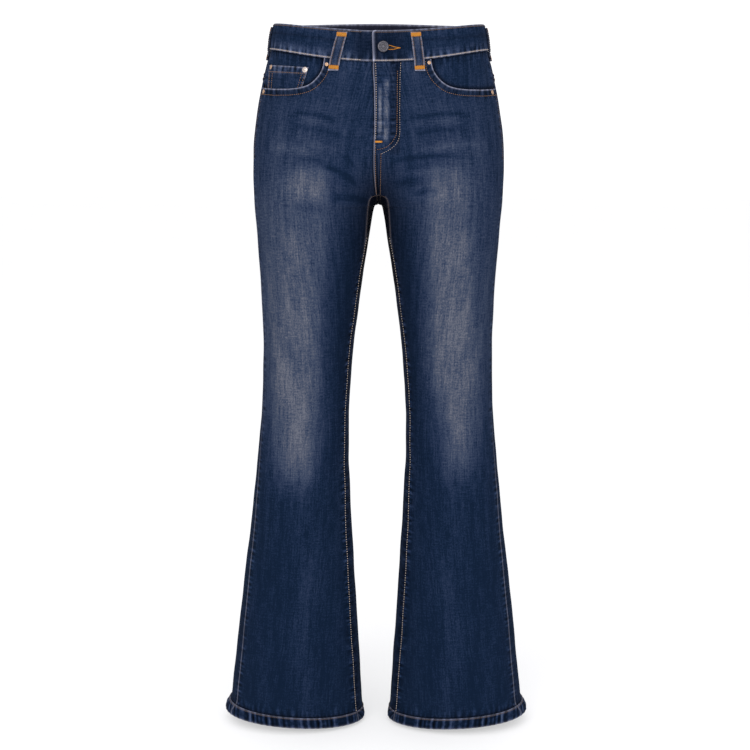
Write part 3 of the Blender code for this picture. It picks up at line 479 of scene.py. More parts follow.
def denim(name, seed, plain=None):
    # Indigo twill: slubs run down the cloth, the wash, the wear and the painted shade come from each piece's own
    # points.
    material, tree, put, calc, blendColour, grain = graph(name)
    u, v, _ = spread(tree, put("UVMap", uv_map="cloth"))

    def own(attribute):
        node = tree.nodes.new("ShaderNodeAttribute")
        node.attribute_name = attribute
        return node.outputs["Fac"]

    def weave(across, down, more, detail=1.0):
        # Threads of one size, as an amount either side of nothing.
        found = grain(calc("MULTIPLY", u, across), calc("MULTIPLY", v, down), seed + more, detail, 0.6)
        return calc("MULTIPLY", calc("SUBTRACT", found, 0.5), 7.0)

    slub = weave(520.0, 44.0, 0.0)
    texture = calc("MULTIPLY", slub, cloth["slub"])
    for size, across, down, more, detail in (("speck", 560.0, 380.0, 5.0, 1.0), ("streak", 150.0, 12.0, 3.0, 1.0),
                                             ("brush", 44.0, 6.0, 7.0, 2.0), ("weft", 70.0, 520.0, 9.0, 0.0)):
        texture = calc("ADD", texture, calc("MULTIPLY", weave(across, down, more, detail), cloth[size]))
    fade, deep, wear, pucker = own("fade"), own("deep"), own("wear"), own("pucker")
    bars = grain(calc("MULTIPLY", own("run"), 190.0), calc("MULTIPLY", own("reach"), 45.0), seed + 9.0, 0.0, 0.5)
    bars = calc("MULTIPLY", calc("SUBTRACT", bars, 0.5), 5.5)
    twill = calc("SINE", calc("MULTIPLY", calc("ADD", u, calc("MULTIPLY", v, 1.7)), 2 * math.pi / 0.0012))

    strength = calc("MULTIPLY_ADD", fade, cloth["most"], cloth["least"])
    washNow = calc("ADD", fade, calc("MULTIPLY", texture, strength))
    washNow = calc("ADD", washNow, calc("MULTIPLY", calc("MULTIPLY", pucker, bars), 0.20), clamp=True)
    if plain is None:
        ramp = tree.nodes.new("ShaderNodeValToRGB")
        ramp.color_ramp.elements[0].position, ramp.color_ramp.elements[0].color = 0.0, (*dyes["wash"][0][1], 1.0)
        ramp.color_ramp.elements[1].position, ramp.color_ramp.elements[1].color = 1.0, (*dyes["wash"][-1][1], 1.0)
        for place, colour in dyes["wash"][1:-1]:
            ramp.color_ramp.elements.new(place).color = (*colour, 1.0)
        tree.links.new(washNow, ramp.inputs[0])
        base = ramp.outputs[0]
    else:
        base = blendColour(washNow, plain, tuple(2.4 * part for part in plain))
    # dark dye and painted shade, blended towards near black
    base = blendColour(deep, base, dyes["deep"])
    base = blendColour(calc("MINIMUM", wear, 1.0), base, dyes["worn"])
    # painted light and shade of the puckers beside the seams, times the twill's fine lines
    shade = calc("ADD", 1.0, calc("MULTIPLY", calc("MULTIPLY", pucker, bars), 0.50))
    shade = calc("MAXIMUM", calc("MULTIPLY", shade, calc("ADD", 1.0, calc("MULTIPLY", twill, cloth["twill"]))), 0.15)
    tone = put("VectorMath", base, operation="SCALE")
    tree.links.new(shade, tree.nodes[-1].inputs["Scale"])
    height = calc("ADD", calc("MULTIPLY", calc("MULTIPLY", pucker, bars), 0.8), calc("MULTIPLY", slub, 0.05))
    finishMaterial(tree, tone, 0.95, specular=0.04, height=height, bump=0.6, reach=0.0007)
    return material


def threadMaterial(name, colour, dark):
    material, tree, put, calc, blendColour, grain = graph(name)
    x, y, z = spread(tree, put("NewGeometry"))
    tint = grain(calc("MULTIPLY", calc("ADD", x, y), 240.0), calc("MULTIPLY", z, 240.0), 2.0)
    finishMaterial(tree, blendColour(tint, dark, colour), 0.6, specular=0.3, height=tint, bump=0.3, reach=0.0002)
    return material


def metalMaterial(name, colour, dark, rough):
    material, tree, put, calc, blendColour, grain = graph(name)
    x, y, z = spread(tree, put("NewGeometry"))
    rub = grain(calc("MULTIPLY", x, 700.0), calc("MULTIPLY", z, 700.0), 4.0, 3.0)
    finishMaterial(tree, blendColour(rub, dark, colour), rough, metallic=0.85, specular=0.5,
                   height=rub, bump=0.25, reach=0.0002)
    return material


def tapeMaterial(name, colour, dark):
    material, tree, put, calc, blendColour, grain = graph(name)
    u, v, _ = spread(tree, put("UVMap", uv_map="cloth"))
    rib = calc("SINE", calc("MULTIPLY", u, 2 * math.pi / 0.0011))
    tint = grain(calc("MULTIPLY", u, 300.0), calc("MULTIPLY", v, 300.0), 1.0)
    finishMaterial(tree, blendColour(tint, dark, colour), 0.8, specular=0.2, height=rib, bump=0.5, reach=0.0003)
    return material


def floorMaterial():
    material, tree, put, calc, blendColour, grain = graph("paleFloor")
    x, y, z = spread(tree, put("NewGeometry"))
    tint = grain(calc("MULTIPLY", x, 3.0), calc("MULTIPLY", y, 3.0), 1.0)
    finishMaterial(tree, blendColour(tint, (0.455, 0.455, 0.47), (0.475, 0.475, 0.485)), 0.9, specular=0.05, glow=0.465)
    return material


cloths = {
    "panel": denim("denimPanel", 1.0),
    "strip": denim("denimStrip", 21.0),
    "facing": denim("denimFacing", 41.0),
    "inside": denim("denimInside", 61.0, dyes["inside"]),
    "bandInside": denim("bandInside", 81.0, dyes["bandInside"]),
    "tape": tapeMaterial("zipTape", (0.030, 0.038, 0.060), (0.020, 0.026, 0.045)),
}
threads = {
    "cream": threadMaterial("threadCream", (0.46, 0.38, 0.32), (0.22, 0.18, 0.16)),
    "tan": threadMaterial("threadTan", (0.23, 0.125, 0.062), (0.12, 0.065, 0.038)),
    "gold": threadMaterial("threadGold", (0.50, 0.205, 0.015), (0.22, 0.078, 0.006)),
    "brown": threadMaterial("threadBrown", (0.095, 0.060, 0.048), (0.045, 0.030, 0.026)),
    # near-black stitches: painted shade where stitches sink into the cloth, and in the buttonhole's slit
    "dark": threadMaterial("threadDark", (0.012, 0.015, 0.030), (0.006, 0.008, 0.018)),
}
metals = {
    "copper": metalMaterial("rivetCopper", (0.56, 0.37, 0.24), (0.20, 0.12, 0.08), 0.38),
    "silver": metalMaterial("coinRivet", (0.66, 0.58, 0.54), (0.22, 0.17, 0.15), 0.34),
    "pewter": metalMaterial("buttonPewter", (0.138, 0.133, 0.154), (0.006, 0.006, 0.010), 0.36),
    "steel": metalMaterial("zipTeeth", (0.42, 0.36, 0.26), (0.26, 0.22, 0.16), 0.4),
}
print("stage: finishes")

# Every piece by its name, in the order they are made.
pieces = {}


def addPiece(name, verts, faces, materials, marks=None, flat=None, faceSlots=None, smoothFaces=True):
    mesh = bpy.data.meshes.new(name)
    mesh.from_pydata(np.asarray(verts).tolist(), [], faces.tolist() if hasattr(faces, "tolist") else faces)
    for material in materials:
        mesh.materials.append(material)
    if faceSlots is not None:
        mesh.polygons.foreach_set("material_index", np.asarray(faceSlots, np.int32))
    if smoothFaces:
        mesh.polygons.foreach_set("use_smooth", np.ones(len(mesh.polygons), bool))
    for key, values in (marks or {}).items():
        mesh.attributes.new(key, "FLOAT", "POINT").data.foreach_set("value", np.asarray(values, np.float32))
    if flat is not None:
        corner = np.zeros(len(mesh.loops), np.int32)
        mesh.loops.foreach_get("vertex_index", corner)
        mesh.uv_layers.new(name="cloth").data.foreach_set("uv", np.asarray(flat, np.float32)[corner].ravel())
    mesh.update()
    item = bpy.data.objects.new(name, mesh)
    bpy.context.scene.collection.objects.link(item)
    pieces[name] = item
    return item


def gridFaces(grid):
    return np.stack((grid[:-1, :-1], grid[:-1, 1:], grid[1:, 1:], grid[1:, :-1]), -1).reshape(-1, 4)


def wallFaces(rows, columns):
    # Quads of an outer and an inner skin over one grid, with the edges between them.
    base = rows * columns
    grid = np.arange(base).reshape(rows, columns)
    outer = gridFaces(grid)
    borders = ((grid[0, 1:], grid[0, :-1]), (grid[-1, :-1], grid[-1, 1:]),
               (grid[:-1, 0], grid[1:, 0]), (grid[1:, -1], grid[:-1, -1]))
    edges = [np.stack((a, b, b + base, a + base), -1) for a, b in borders]
    return outer, outer[:, ::-1] + base, np.concatenate(edges)


def clothWall(name, level, along, side, outside, inside, materials, marks=None, shift=0.0, flat=None):
    rows, columns = level.shape
    point, out = onCloth(level, along, side)
    point = point + np.array((shift * side, 0.0, 0.0))
    outside = np.broadcast_to(outside, level.shape)
    inside = np.broadcast_to(inside, level.shape)
    skins = [(point + out * away[..., None]).reshape(-1, 3) for away in (outside, inside)]
    verts = np.concatenate(skins)
    outer, inner, edges = wallFaces(rows, columns)
    i, j = rows // 2, columns // 2
    quad = verts[[i * columns + j, i * columns + j + 1, (i + 1) * columns + j]]
    facing = np.dot(np.cross(quad[1] - quad[0], quad[2] - quad[0]), out[i, j])
    faces = np.concatenate((outer, inner, edges))
    if facing < 0:
        faces = faces[:, ::-1]
    slots = np.concatenate((np.zeros(len(outer)), np.ones(len(inner)), np.zeros(len(edges)))).astype(int)
    if flat is None:
        reach = np.where(np.abs(along) <= 1.0, frontLength(level), backLength(level))
        flat = np.stack((along * reach, -level), -1)
    flat = np.asarray(flat).reshape(-1, 2)
    full = {}
    for key in ("fade", "deep", "wear", "pucker", "run", "reach"):
        values = np.broadcast_to(np.asarray((marks or {}).get(key, 0.0), float), level.shape).ravel()
        hidden = values * (0.25 if key in ("fade", "wear") else 1.0)
        full[key] = np.concatenate((values, hidden))
    return addPiece(name, verts, faces, materials, full, np.concatenate((flat, flat)), slots)


def nearestSeam(seams):
    # Of several seams, the one whose puckers are strongest here: strength, place along it, distance.
    best = None
    for reach, run, strength, width in seams:
        reach, run = np.asarray(reach, float), np.asarray(run, float)
        force = strength * bell(reach, width)
        if best is None:
            best = [force, run + 0 * force, reach + 0 * force]
        else:
            take = force > best[0]
            best = [np.where(take, new, old) for new, old in zip((force, run, reach), best)]
    return {"pucker": best[0], "run": best[1], "reach": best[2]}


# wash patches: side, face, x, z, half width, half height, strength
washRows = (
    # bright patch under the hip, thigh, knee; wearer's right
    (-1, -1, 0.106, -0.204, 0.034, 0.022, 0.44), (-1, -1, 0.110, -0.262, 0.042, 0.054, 0.38),
    (-1, -1, 0.116, -0.350, 0.042, 0.066, 0.48),
    (-1, -1, 0.119, -0.445, 0.038, 0.062, 0.48), (-1, -1, 0.118, -0.525, 0.036, 0.056, 0.52),
    (-1, -1, 0.120, -0.600, 0.031, 0.046, 0.46),
    (-1, -1, 0.134, -0.492, 0.016, 0.050, 0.12), (-1, -1, 0.105, -0.385, 0.014, 0.070, 0.08),
    (-1, -1, 0.108, -0.560, 0.014, 0.040, 0.10),
    (-1, -1, 0.170, -0.380, 0.034, 0.140, 0.26), (-1, -1, 0.165, -0.240, 0.030, 0.050, 0.08),
    (-1, -1, 0.116, -0.158, 0.046, 0.034, 0.13), (-1, -1, 0.100, -0.104, 0.050, 0.016, 0.08),
    (-1, -1, 0.105, -0.800, 0.020, 0.200, 0.07),
    # wearer's left
    (1, -1, 0.104, -0.205, 0.038, 0.026, 0.30), (1, -1, 0.102, -0.262, 0.037, 0.056, 0.46),
    (1, -1, 0.104, -0.350, 0.038, 0.066, 0.54),
    (1, -1, 0.108, -0.445, 0.039, 0.060, 0.54), (1, -1, 0.116, -0.514, 0.034, 0.050, 0.40),
    (1, -1, 0.120, -0.578, 0.027, 0.050, 0.40),
    (1, -1, 0.116, -0.400, 0.014, 0.060, 0.08), (1, -1, 0.096, -0.300, 0.012, 0.070, 0.08),
    (1, -1, 0.124, -0.455, 0.014, 0.050, 0.06),
    (1, -1, 0.165, -0.380, 0.030, 0.130, 0.22), (1, -1, 0.108, -0.162, 0.044, 0.030, 0.12),
    (1, -1, 0.100, -0.104, 0.045, 0.016, 0.08),
    (1, -1, 0.112, -0.800, 0.020, 0.200, 0.06),
    # back: seat and thigh
    (-1, 1, 0.085, -0.160, 0.055, 0.080, 0.34), (1, 1, 0.088, -0.160, 0.055, 0.080, 0.34),
    (-1, 1, 0.100, -0.330, 0.046, 0.110, 0.36), (1, 1, 0.104, -0.330, 0.046, 0.110, 0.34),
    (-1, 1, 0.112, -0.500, 0.040, 0.080, 0.22), (1, 1, 0.114, -0.510, 0.040, 0.080, 0.20),
    (-1, 1, 0.165, -0.380, 0.034, 0.130, 0.14), (1, 1, 0.165, -0.380, 0.034, 0.130, 0.14),
)
# soft whisker lines: side, face, x and z at the inner end, x and z at the outer end, half width, strength
whiskerRows = (
    (-1, -1, 0.058, -0.116, 0.121, -0.105, 0.0030, -0.14), (-1, -1, 0.028, -0.204, 0.079, -0.177, 0.0050, -0.20),
    (-1, -1, 0.012, -0.229, 0.067, -0.222, 0.0050, -0.20),
    (-1, -1, 0.090, -0.161, 0.150, -0.154, 0.0050, 0.12), (-1, -1, 0.074, -0.175, 0.116, -0.169, 0.0040, -0.10),
    (-1, -1, 0.040, -0.140, 0.120, -0.124, 0.0040, -0.08),
    (-1, -1, 0.040, -0.132, 0.110, -0.114, 0.0050, 0.07), (-1, -1, 0.040, -0.168, 0.100, -0.146, 0.0050, 0.08),
    (-1, -1, 0.075, -0.241, 0.125, -0.236, 0.0050, -0.08),
    (-1, -1, 0.050, -0.190, 0.130, -0.186, 0.0040, 0.06), (-1, -1, 0.030, -0.180, 0.060, -0.160, 0.0050, -0.12),
    (1, -1, 0.042, -0.112, 0.130, -0.106, 0.0030, -0.14), (1, -1, 0.049, -0.134, 0.114, -0.128, 0.0030, -0.12),
    (1, -1, 0.019, -0.170, 0.123, -0.164, 0.0040, -0.16),
    (1, -1, 0.048, -0.217, 0.088, -0.213, 0.0040, -0.14), (1, -1, 0.053, -0.157, 0.146, -0.147, 0.0050, 0.10),
    (1, -1, 0.040, -0.122, 0.125, -0.117, 0.0040, 0.07),
    (1, -1, 0.030, -0.190, 0.120, -0.184, 0.0050, 0.07), (1, -1, 0.020, -0.205, 0.060, -0.198, 0.0060, -0.10),
    (1, -1, 0.040, -0.182, 0.110, -0.175, 0.0030, -0.06),
    (-1, 1, 0.030, -0.252, 0.120, -0.236, 0.0060, -0.09), (1, 1, 0.030, -0.250, 0.120, -0.238, 0.0060, -0.09),
    (-1, 1, 0.040, -0.268, 0.120, -0.256, 0.0070, 0.09), (1, 1, 0.040, -0.270, 0.120, -0.258, 0.0070, 0.09),
    (-1, 1, 0.070, -0.520, 0.145, -0.516, 0.0060, 0.08), (1, 1, 0.070, -0.526, 0.145, -0.520, 0.0060, 0.08),
    (-1, 1, 0.070, -0.506, 0.145, -0.500, 0.0050, -0.07), (1, 1, 0.070, -0.510, 0.145, -0.506, 0.0050, -0.07),
)


# the curved row at the crotch: height, distance out
crotchRows = ((-0.2198, 0.0), (-0.2202, 0.0060), (-0.2220, 0.0102), (-0.2247, 0.0125), (-0.2296, 0.0139), (-0.2367, 0.0148),
              (-0.2457, 0.0157), (-0.2502, 0.0160), (-0.2819, 0.0182), (-0.3112, 0.0226), (-0.3400, 0.0272))


def crotchEdge(z):
    heights, outs = np.array(sorted(crotchRows)).T
    return np.interp(z, heights, outs)


def washMarks(point):
    # How washed out the dye is at each point of the cloth, and how dark: painted shade at the crotch, darker between
    # the thighs.
    x, y, z = np.abs(point[..., 0]), point[..., 1], point[..., 2]
    hand = np.sign(point[..., 0] + 1e-9)
    fade = 0.045 + 0.115 * ease(-0.36, -0.20, z) - 0.02 * ease(-0.60, -0.95, z)
    for which, face, midX, midZ, halfX, halfZ, strength in washRows:
        hit = (hand == which) & (face * y > 0)
        patch = np.exp(-np.abs((x - midX) / halfX) ** 3 - np.abs((z - midZ) / halfZ) ** 2.4)
        fade = fade + np.where(hit, strength * patch, 0.0)
    for which, face, startX, startZ, stopX, stopZ, half, strength in whiskerRows:
        along = (x - startX) / (stopX - startX)
        line = startZ + (stopZ - startZ) * along + 0.004 * np.sin(3.1 * along)
        hit = (hand == which) & (face * y > 0)
        whisker = 1.35 * strength * bell(z - line, half) * ease(-0.1, 0.25, along) * ease(1.15, 0.7, along)
        fade = fade + np.where(hit, whisker, 0.0)
    # painted shade in the crotch, then darker between the thighs
    deep = 0.50 * bell(x, 0.030) * ease(-0.150, -0.215, z) * ease(-0.36, -0.25, z) * (y < 0.03)
    deep = deep + 0.15 * bell(x, 0.060) * ease(-0.20, -0.26, z) * ease(-0.60, -0.35, z)
    # painted shade, near black, below the curved row of sewing at the crotch
    deep = deep + 1.05 * ease(0.0012, -0.0006, x - crotchEdge(z)) * ease(-0.2188, -0.2204, z) * ease(-0.42, -0.30, z)
    return np.clip(fade, 0, 1), np.clip(deep, 0, 0.97)


def flyOffset(level):
    heights, pasts = np.array(flyRows).T
    return np.interp(level, heights, pasts)


def pocketLine(side):
    xs, zs = np.array(pocketRows).T
    moved = xs - side * cut["pocketShift"] * (1.0 - (xs - 0.0741) / 0.0849)
    level, along, _ = findPlace(moved, zs, -1)
    level[0] = panelTop
    along = np.append(along, 1.0)
    level = np.append(level, level[-1] + 0.0004)
    # rounded between the table's points
    t = np.concatenate(([0.0], np.cumsum(np.hypot(np.diff(along) * 0.19, np.diff(level)))))
    fine = np.linspace(0.0, t[-1], 140)
    a, z = np.interp(fine, t, along), np.interp(fine, t, level)
    kernel = np.ones(9) / 9
    pad = 4
    for values in (a, z):
        ends = np.concatenate((np.full(pad, values[0]), values, np.full(pad, values[-1])))
        smoothed = np.convolve(ends, kernel, "valid")
        keep = np.minimum(np.arange(140), np.arange(140)[::-1]) / 6.0
        values[:] = values + (smoothed - values) * np.clip(keep, 0, 1)
    return a, z


pocketLines = {side: pocketLine(side) for side in (-1, 1)}


def pocketReach(side, level, along):
    # Distance from the front pocket edge and the place along it.
    a, z = pocketLines[side]
    s = a * frontLength(z)
    run = np.concatenate(([0.0], np.cumsum(np.hypot(np.diff(s), np.diff(z)))))
    here = along * frontLength(level)
    reach = np.full(level.shape, 1.0)
    where = np.zeros(level.shape)
    near = level > -0.11
    gap = np.hypot(here[near][:, None] - s[None, :], level[near][:, None] - z[None, :])
    best = gap.argmin(1)
    reach[near] = gap[np.arange(len(best)), best]
    where[near] = run[best]
    return reach, where


fronts = {"columns": 84, "hipRows": 34, "riseRows": 60, "legRows": 190, "pocketHem": 0.0007, "flyEdge": 0.0010,
          "seamRidge": 0.0005,
          # middle, half width, top, low, strength
          "flyBars": ((0.0018, 0.0025, -0.0540, -0.1240, 0.82), (0.0104, 0.0039, -0.0420, -0.1340, 0.66),
                      (0.0066, 0.0080, -0.0460, -0.1330, 0.05))}


def frontLift(side, level, along):
    # Doubled cloth stands a little proud: pocket hem, fly edge, felled inseam, side seam.
    length = frontLength(level)
    reach, _ = pocketReach(side, level, np.maximum(along, 0.0))
    lift = fronts["pocketHem"] * (1 - ease(0.0095, 0.0120, reach))
    fromCentre = along * length
    if side > 0:
        high = ease(-0.224, -0.208, level)
        edge = fromCentre + flyOffset(level)
        lift = lift + high * (fronts["flyEdge"] * (1 - ease(0.0, 0.012, edge)) + 0.0004 * (1 - ease(0.030, 0.034, fromCentre)))
    low = ease(cut["crotch"], cut["crotch"] - 0.02, level)
    lift = lift + low * fronts["seamRidge"] * (1 - ease(0.0045, 0.0065, np.abs(fromCentre)))
    lift = lift + 0.0003 * (1 - ease(0.0, 0.006, (1 - along) * length))
    return lift


def spreadFront(side, level, share):
    # From an even share across the panel to its place along the cloth.
    length = frontLength(level)
    low = np.where(level < cut["crotch"], 0.5 * cut["seamGap"] / length, 0.0)
    start = -side * flyOffset(level) / length + low
    stop = 1.0 - 0.5 * cut["seamGap"] / length
    keep = ease(0.0, 0.30, share)
    return np.minimum(share * keep + (start + (0.30 - start) * share / 0.30) * (1 - keep), stop)


def frontPanel(name, side):
    even = np.linspace(0.0, 1.0, fronts["columns"])
    share = even - 0.45 * np.sin(2 * math.pi * even) / (2 * math.pi)
    share = np.unique(np.round(np.concatenate((share, np.linspace(0.365, 0.45, 26), np.linspace(0.0, 0.03, 7))), 5))
    lineA, lineZ = pocketLines[side]
    top = np.where(share < lineA[0], panelTop, np.interp(share, lineA, lineZ))
    rows = []
    for t in np.linspace(0.0, 1.0, fronts["hipRows"])[:-1] ** 1.25:
        rows.append(top + (-0.108 - top) * t)
    lower = np.concatenate((np.linspace(-0.108, -0.222, fronts["riseRows"] - 20), np.linspace(-0.222, -0.245, 30)[1:],
                            np.linspace(-0.245, panelLow, fronts["legRows"])[1:]))
    rows += [np.full(share.shape, value) for value in lower]
    level = np.array(rows)
    along = spreadFront(side, level, np.broadcast_to(share, level.shape))
    length = frontLength(level)
    point, _ = onCloth(level, along, side)
    fade, deep = washMarks(point)
    reach, where = pocketReach(side, level, np.maximum(along, 0))
    fromCentre = along * length
    seams = [
        (np.abs(fromCentre - 0.0050) + 1.0 * (level > cut["crotch"]), -level, 0.85, 0.0055),
        (np.abs((1 - along) * length - 0.0050), -level, 0.45 + 0.45 * ease(-0.45, -0.62, level), 0.0045),
        (reach, where, 0.75, 0.010),
        (panelTop - level, fromCentre, 0.45, 0.010),
        (level - panelLow, fromCentre, 0.50, 0.012),
        (np.abs(fromCentre) + 1.0 * (level < -0.15), -level, 0.40, 0.010),
    ]
    if side > 0:
        seams.append((np.abs(fromCentre - 0.0200) + 1.0 * (level < -0.140), -level, 0.70, 0.0036))
    marks = nearestSeam(seams)
    fromSide = (1 - along) * length
    wear = 0.90 * bell(reach, 0.0012) + 0.42 * ease(-0.50, -0.66, level) * bell(fromSide - 0.0014, 0.0010)
    edgeOut = np.abs(point[..., 0]) - crotchEdge(point[..., 2])
    wear = wear + 0.30 * bell(edgeOut, 0.0009) * ease(-0.216, -0.222, level) * ease(-0.36, -0.27, level)
    deep = deep + 0.35 * ease(0.0012, 0.0024, reach) * ease(0.0092, 0.0070, reach)
    # painted shade just under the waistband and just above the hem
    deep = deep + 0.60 * bell(panelTop - level, 0.0014) + 0.75 * bell(level - panelLow, 0.0034)
    if side > 0:
        high = ease(-0.160, -0.152, level)
        wear = wear + (0.46 + 0.26 * high) * ease(-0.226, -0.218, level) * bell(fromCentre + flyOffset(level), 0.0015)
        below = ease(-0.150, -0.160, level) * (level > cut["crotch"])
        # painted shade either side of the centre seam below the fly, and a worn pale ridge on it
        deep = deep + 0.55 * below * (bell(fromCentre + 0.0022, 0.0010) + bell(fromCentre - 0.0022, 0.0010))
        fade = fade + 0.16 * below * bell(fromCentre - 0.0002, 0.0014)
        # pale rubbed bars where the fly lies over the zip, dark between them, and painted shade beside the two rows
        for middle, half, top, low, strength in fronts["flyBars"]:
            bar = (ease(half * 1.3, half * 0.4, np.abs(fromCentre - middle)) * ease(top + 0.006, top - 0.006, level)
                   * ease(low - 0.010, low + 0.010, level))
            fade = fade + strength * bar * (0.82 + 0.18 * np.sin(level * 160 + middle * 900))
        deep = deep + 0.34 * high * ease(0.0140, 0.0165, fromCentre) * ease(0.0310, 0.0280, fromCentre)
        # painted shade beside the row along the fly edge
        deep = deep + 0.75 * bell(fromCentre + flyOffset(level) - 0.0024, 0.0013) * (level > -0.222)
        for bed in (0.0253, 0.0289):
            deep = deep + 0.50 * ease(-0.140, -0.132, level) * bell(fromCentre - bed, 0.0012)
    else:
        # painted shadow of the overlapping fly edge on the right front
        deep = deep + 0.80 * bell(fromCentre - flyOffset(level) - 0.0004, 0.0016) * (level > -0.222)
    legs = ease(cut["crotch"] - 0.03, cut["crotch"] - 0.05, level)
    # painted shade beside the inseam row and beside the side seam's ridge
    deep = deep + 0.55 * legs * bell(fromCentre - 0.0018, 0.0014) + 0.45 * legs * bell(fromSide - 0.0034, 0.0011)
    # painted shade beside the pocket edge's row
    deep = deep + 0.45 * bell(reach - 0.0088, 0.0012)
    marks.update(fade=np.clip(fade, 0, 1), deep=np.clip(deep, 0, 0.97), wear=wear)
    lift = frontLift(side, level, along)
    flat = np.stack((-(1 - along) * length, -level), -1)
    return clothWall(name, level, along, side, lift, -cut["cloth"], [cloths["panel"], cloths["inside"]], marks,
                     shift=-0.00012, flat=flat)


frontPanel("frontRight", -1)
frontPanel("frontLeft", 1)
print("stage: front panels")

backs = {"columns": 84, "rows": 210, "seamRidge": 0.0006, "yokeDepth": (0.056, 0.034)}


def yokeLow(t):
    return -backs["yokeDepth"][0] - backs["yokeDepth"][1] * t


def backLift(level, along, yokeSide):
    t = along - 1.0
    length = backLength(level)
    gap = np.abs(level - yokeLow(t))
    lift = 0.0006 * (1 - ease(0.0085, 0.0105, gap)) if yokeSide else 0.0 * gap
    high = ease(cut["crotch"], cut["crotch"] + 0.01, level)
    lift = lift + high * backs["seamRidge"] * (1 - ease(0.0085, 0.0105, (1 - t) * length)) * 0.7
    return lift + 0.0003 * (1 - ease(0.0, 0.006, t * length))


def backMarks(level, along, point, extra):
    t = along - 1.0
    length = backLength(level)
    fade, deep = washMarks(point)
    seams = [((1 - t) * length, -level, 0.70, 0.011), (t * length, -level, 0.50, 0.007)] + extra
    marks = nearestSeam(seams)
    # painted shade beside the inseam on the legs, and darker beside the side seam low on the leg
    deep = (deep + 0.35 * ease(0.016, 0.006, (1 - t) * length) * (level < cut["crotch"])
            + 0.20 * ease(0.020, 0.008, t * length) * ease(-0.45, -0.62, level))
    # painted shade just under the waistband and just above the hem
    deep = deep + 0.60 * bell(panelTop - level, 0.0014) + 0.75 * bell(level - panelLow, 0.0034)
    marks.update(fade=fade, deep=np.clip(deep, 0, 0.92))
    return marks


def backPiece(name, side, isYoke):
    even = np.linspace(0.0, 1.0, backs["columns"])
    share = even - 0.45 * np.sin(2 * math.pi * even) / (2 * math.pi)
    if isYoke:
        rows = [panelTop + (yokeLow(share) - panelTop) * t for t in np.linspace(0, 1, 28)]
    else:
        first = yokeLow(share) - cut["seamGap"]
        rows = [first + (-0.112 - first) * t for t in np.linspace(0, 1, 14)[:-1]]
        lower = np.concatenate((np.linspace(-0.112, -0.222, 40), np.linspace(-0.222, -0.245, 30)[1:],
                                np.linspace(-0.245, panelLow, backs["rows"] - 20)[1:]))
        rows += [np.full(share.shape, value) for value in lower]
    level = np.array(rows)
    edge = 0.5 * cut["seamGap"] / backLength(level)
    far = np.where(level < cut["crotch"], edge, 0.0)
    along = 1.0 + edge + share * (1.0 - edge - far)
    point, _ = onCloth(level, along, side)
    across = (along - 1.0) * backLength(level)
    extra = [(np.abs(level - yokeLow(along - 1.0)), across, 0.6, 0.010)]
    if isYoke:
        extra.append((panelTop - level, across, 0.5, 0.010))
    else:
        extra.append((level - panelLow, across, 0.5, 0.012))
    marks = backMarks(level, along, point, extra)
    flat = np.stack(((along - 1.0) * backLength(level), -level), -1)
    return clothWall(name, level, along, side, backLift(level, along, isYoke), -cut["cloth"],
                     [cloths["panel"], cloths["inside"]], marks, shift=-0.00012, flat=flat)


for side, word in ((-1, "Right"), (1, "Left")):
    backPiece("back" + word, side, False)
    backPiece("yoke" + word, side, True)
print("stage: back panels and yokes")


def pocketFacing(name, side, depth):
    lineA, lineZ = pocketLines[side]
    start = lineA[0] - 0.06
    share = np.linspace(0.0, 1.0, 56)
    f = start + (0.998 - start) * share
    low = np.minimum(np.where(f < lineA[0], panelTop, np.interp(f, lineA, lineZ)) - 0.020, -0.052)
    top = panelTop + 0.0016
    level = np.array([top + (low - top) * t for t in np.linspace(0, 1, 30)])
    along = np.broadcast_to(f, level.shape)
    length = frontLength(level)
    marks = nearestSeam([(panelTop - level, along * length, 0.5, 0.010), ((1 - along) * length, -level, 0.5, 0.008)])
    reach, _ = pocketReach(side, level, along)
    point, _ = onCloth(level, along, side)
    shadow = (0.80 * ease(0.0075, 0.0015, reach) + 0.60 * bell(panelTop - level, 0.0016)
              + 0.15 * ease(0.010, 0.0, panelTop - level))
    marks.update(fade=0.095, deep=shadow, wear=0.45 * bell((0.998 - along) * length, 0.0012))
    # it comes up into the side seam above the pocket edge
    rise = ease(0.93, 0.99, along) * ease(0.002, 0.008, level - np.interp(along, lineA, lineZ))
    away = -depth + (depth - 0.0003) * rise
    return clothWall(name, level, along, side, away, away - 0.0010, [cloths["facing"], cloths["inside"]], marks)


facingDepth = cut["cloth"] + cut["layerGap"]
pocketFacing("pocketFacingLeft", 1, facingDepth)
pocketFacing("pocketFacingRight", -1, facingDepth + cut["coinThick"] + cut["layerGap"])


coin = {"inner": 0.0985, "innerLean": 0.0147, "outer": 0.1580, "outerLean": 0.0020,
        "top": -0.0420, "topRise": 0.0045, "low": -0.0860, "wide": 0.059, "tall": 0.046}


def shapedPlaces(x, z, face):
    # The cloth's own places of a whole grid, and which side each is on.
    level, along, hand = findPlace(x.ravel(), z.ravel(), face)
    return level.reshape(x.shape), along.reshape(x.shape), hand.reshape(x.shape)


def coinPlaces(u, t):
    inner = coin["inner"] + coin["innerLean"] * t
    outer = coin["outer"] + coin["outerLean"] * t
    x = inner + (outer - inner) * u
    top = coin["top"] + coin["topRise"] * u
    return x, top + (coin["low"] - top) * t


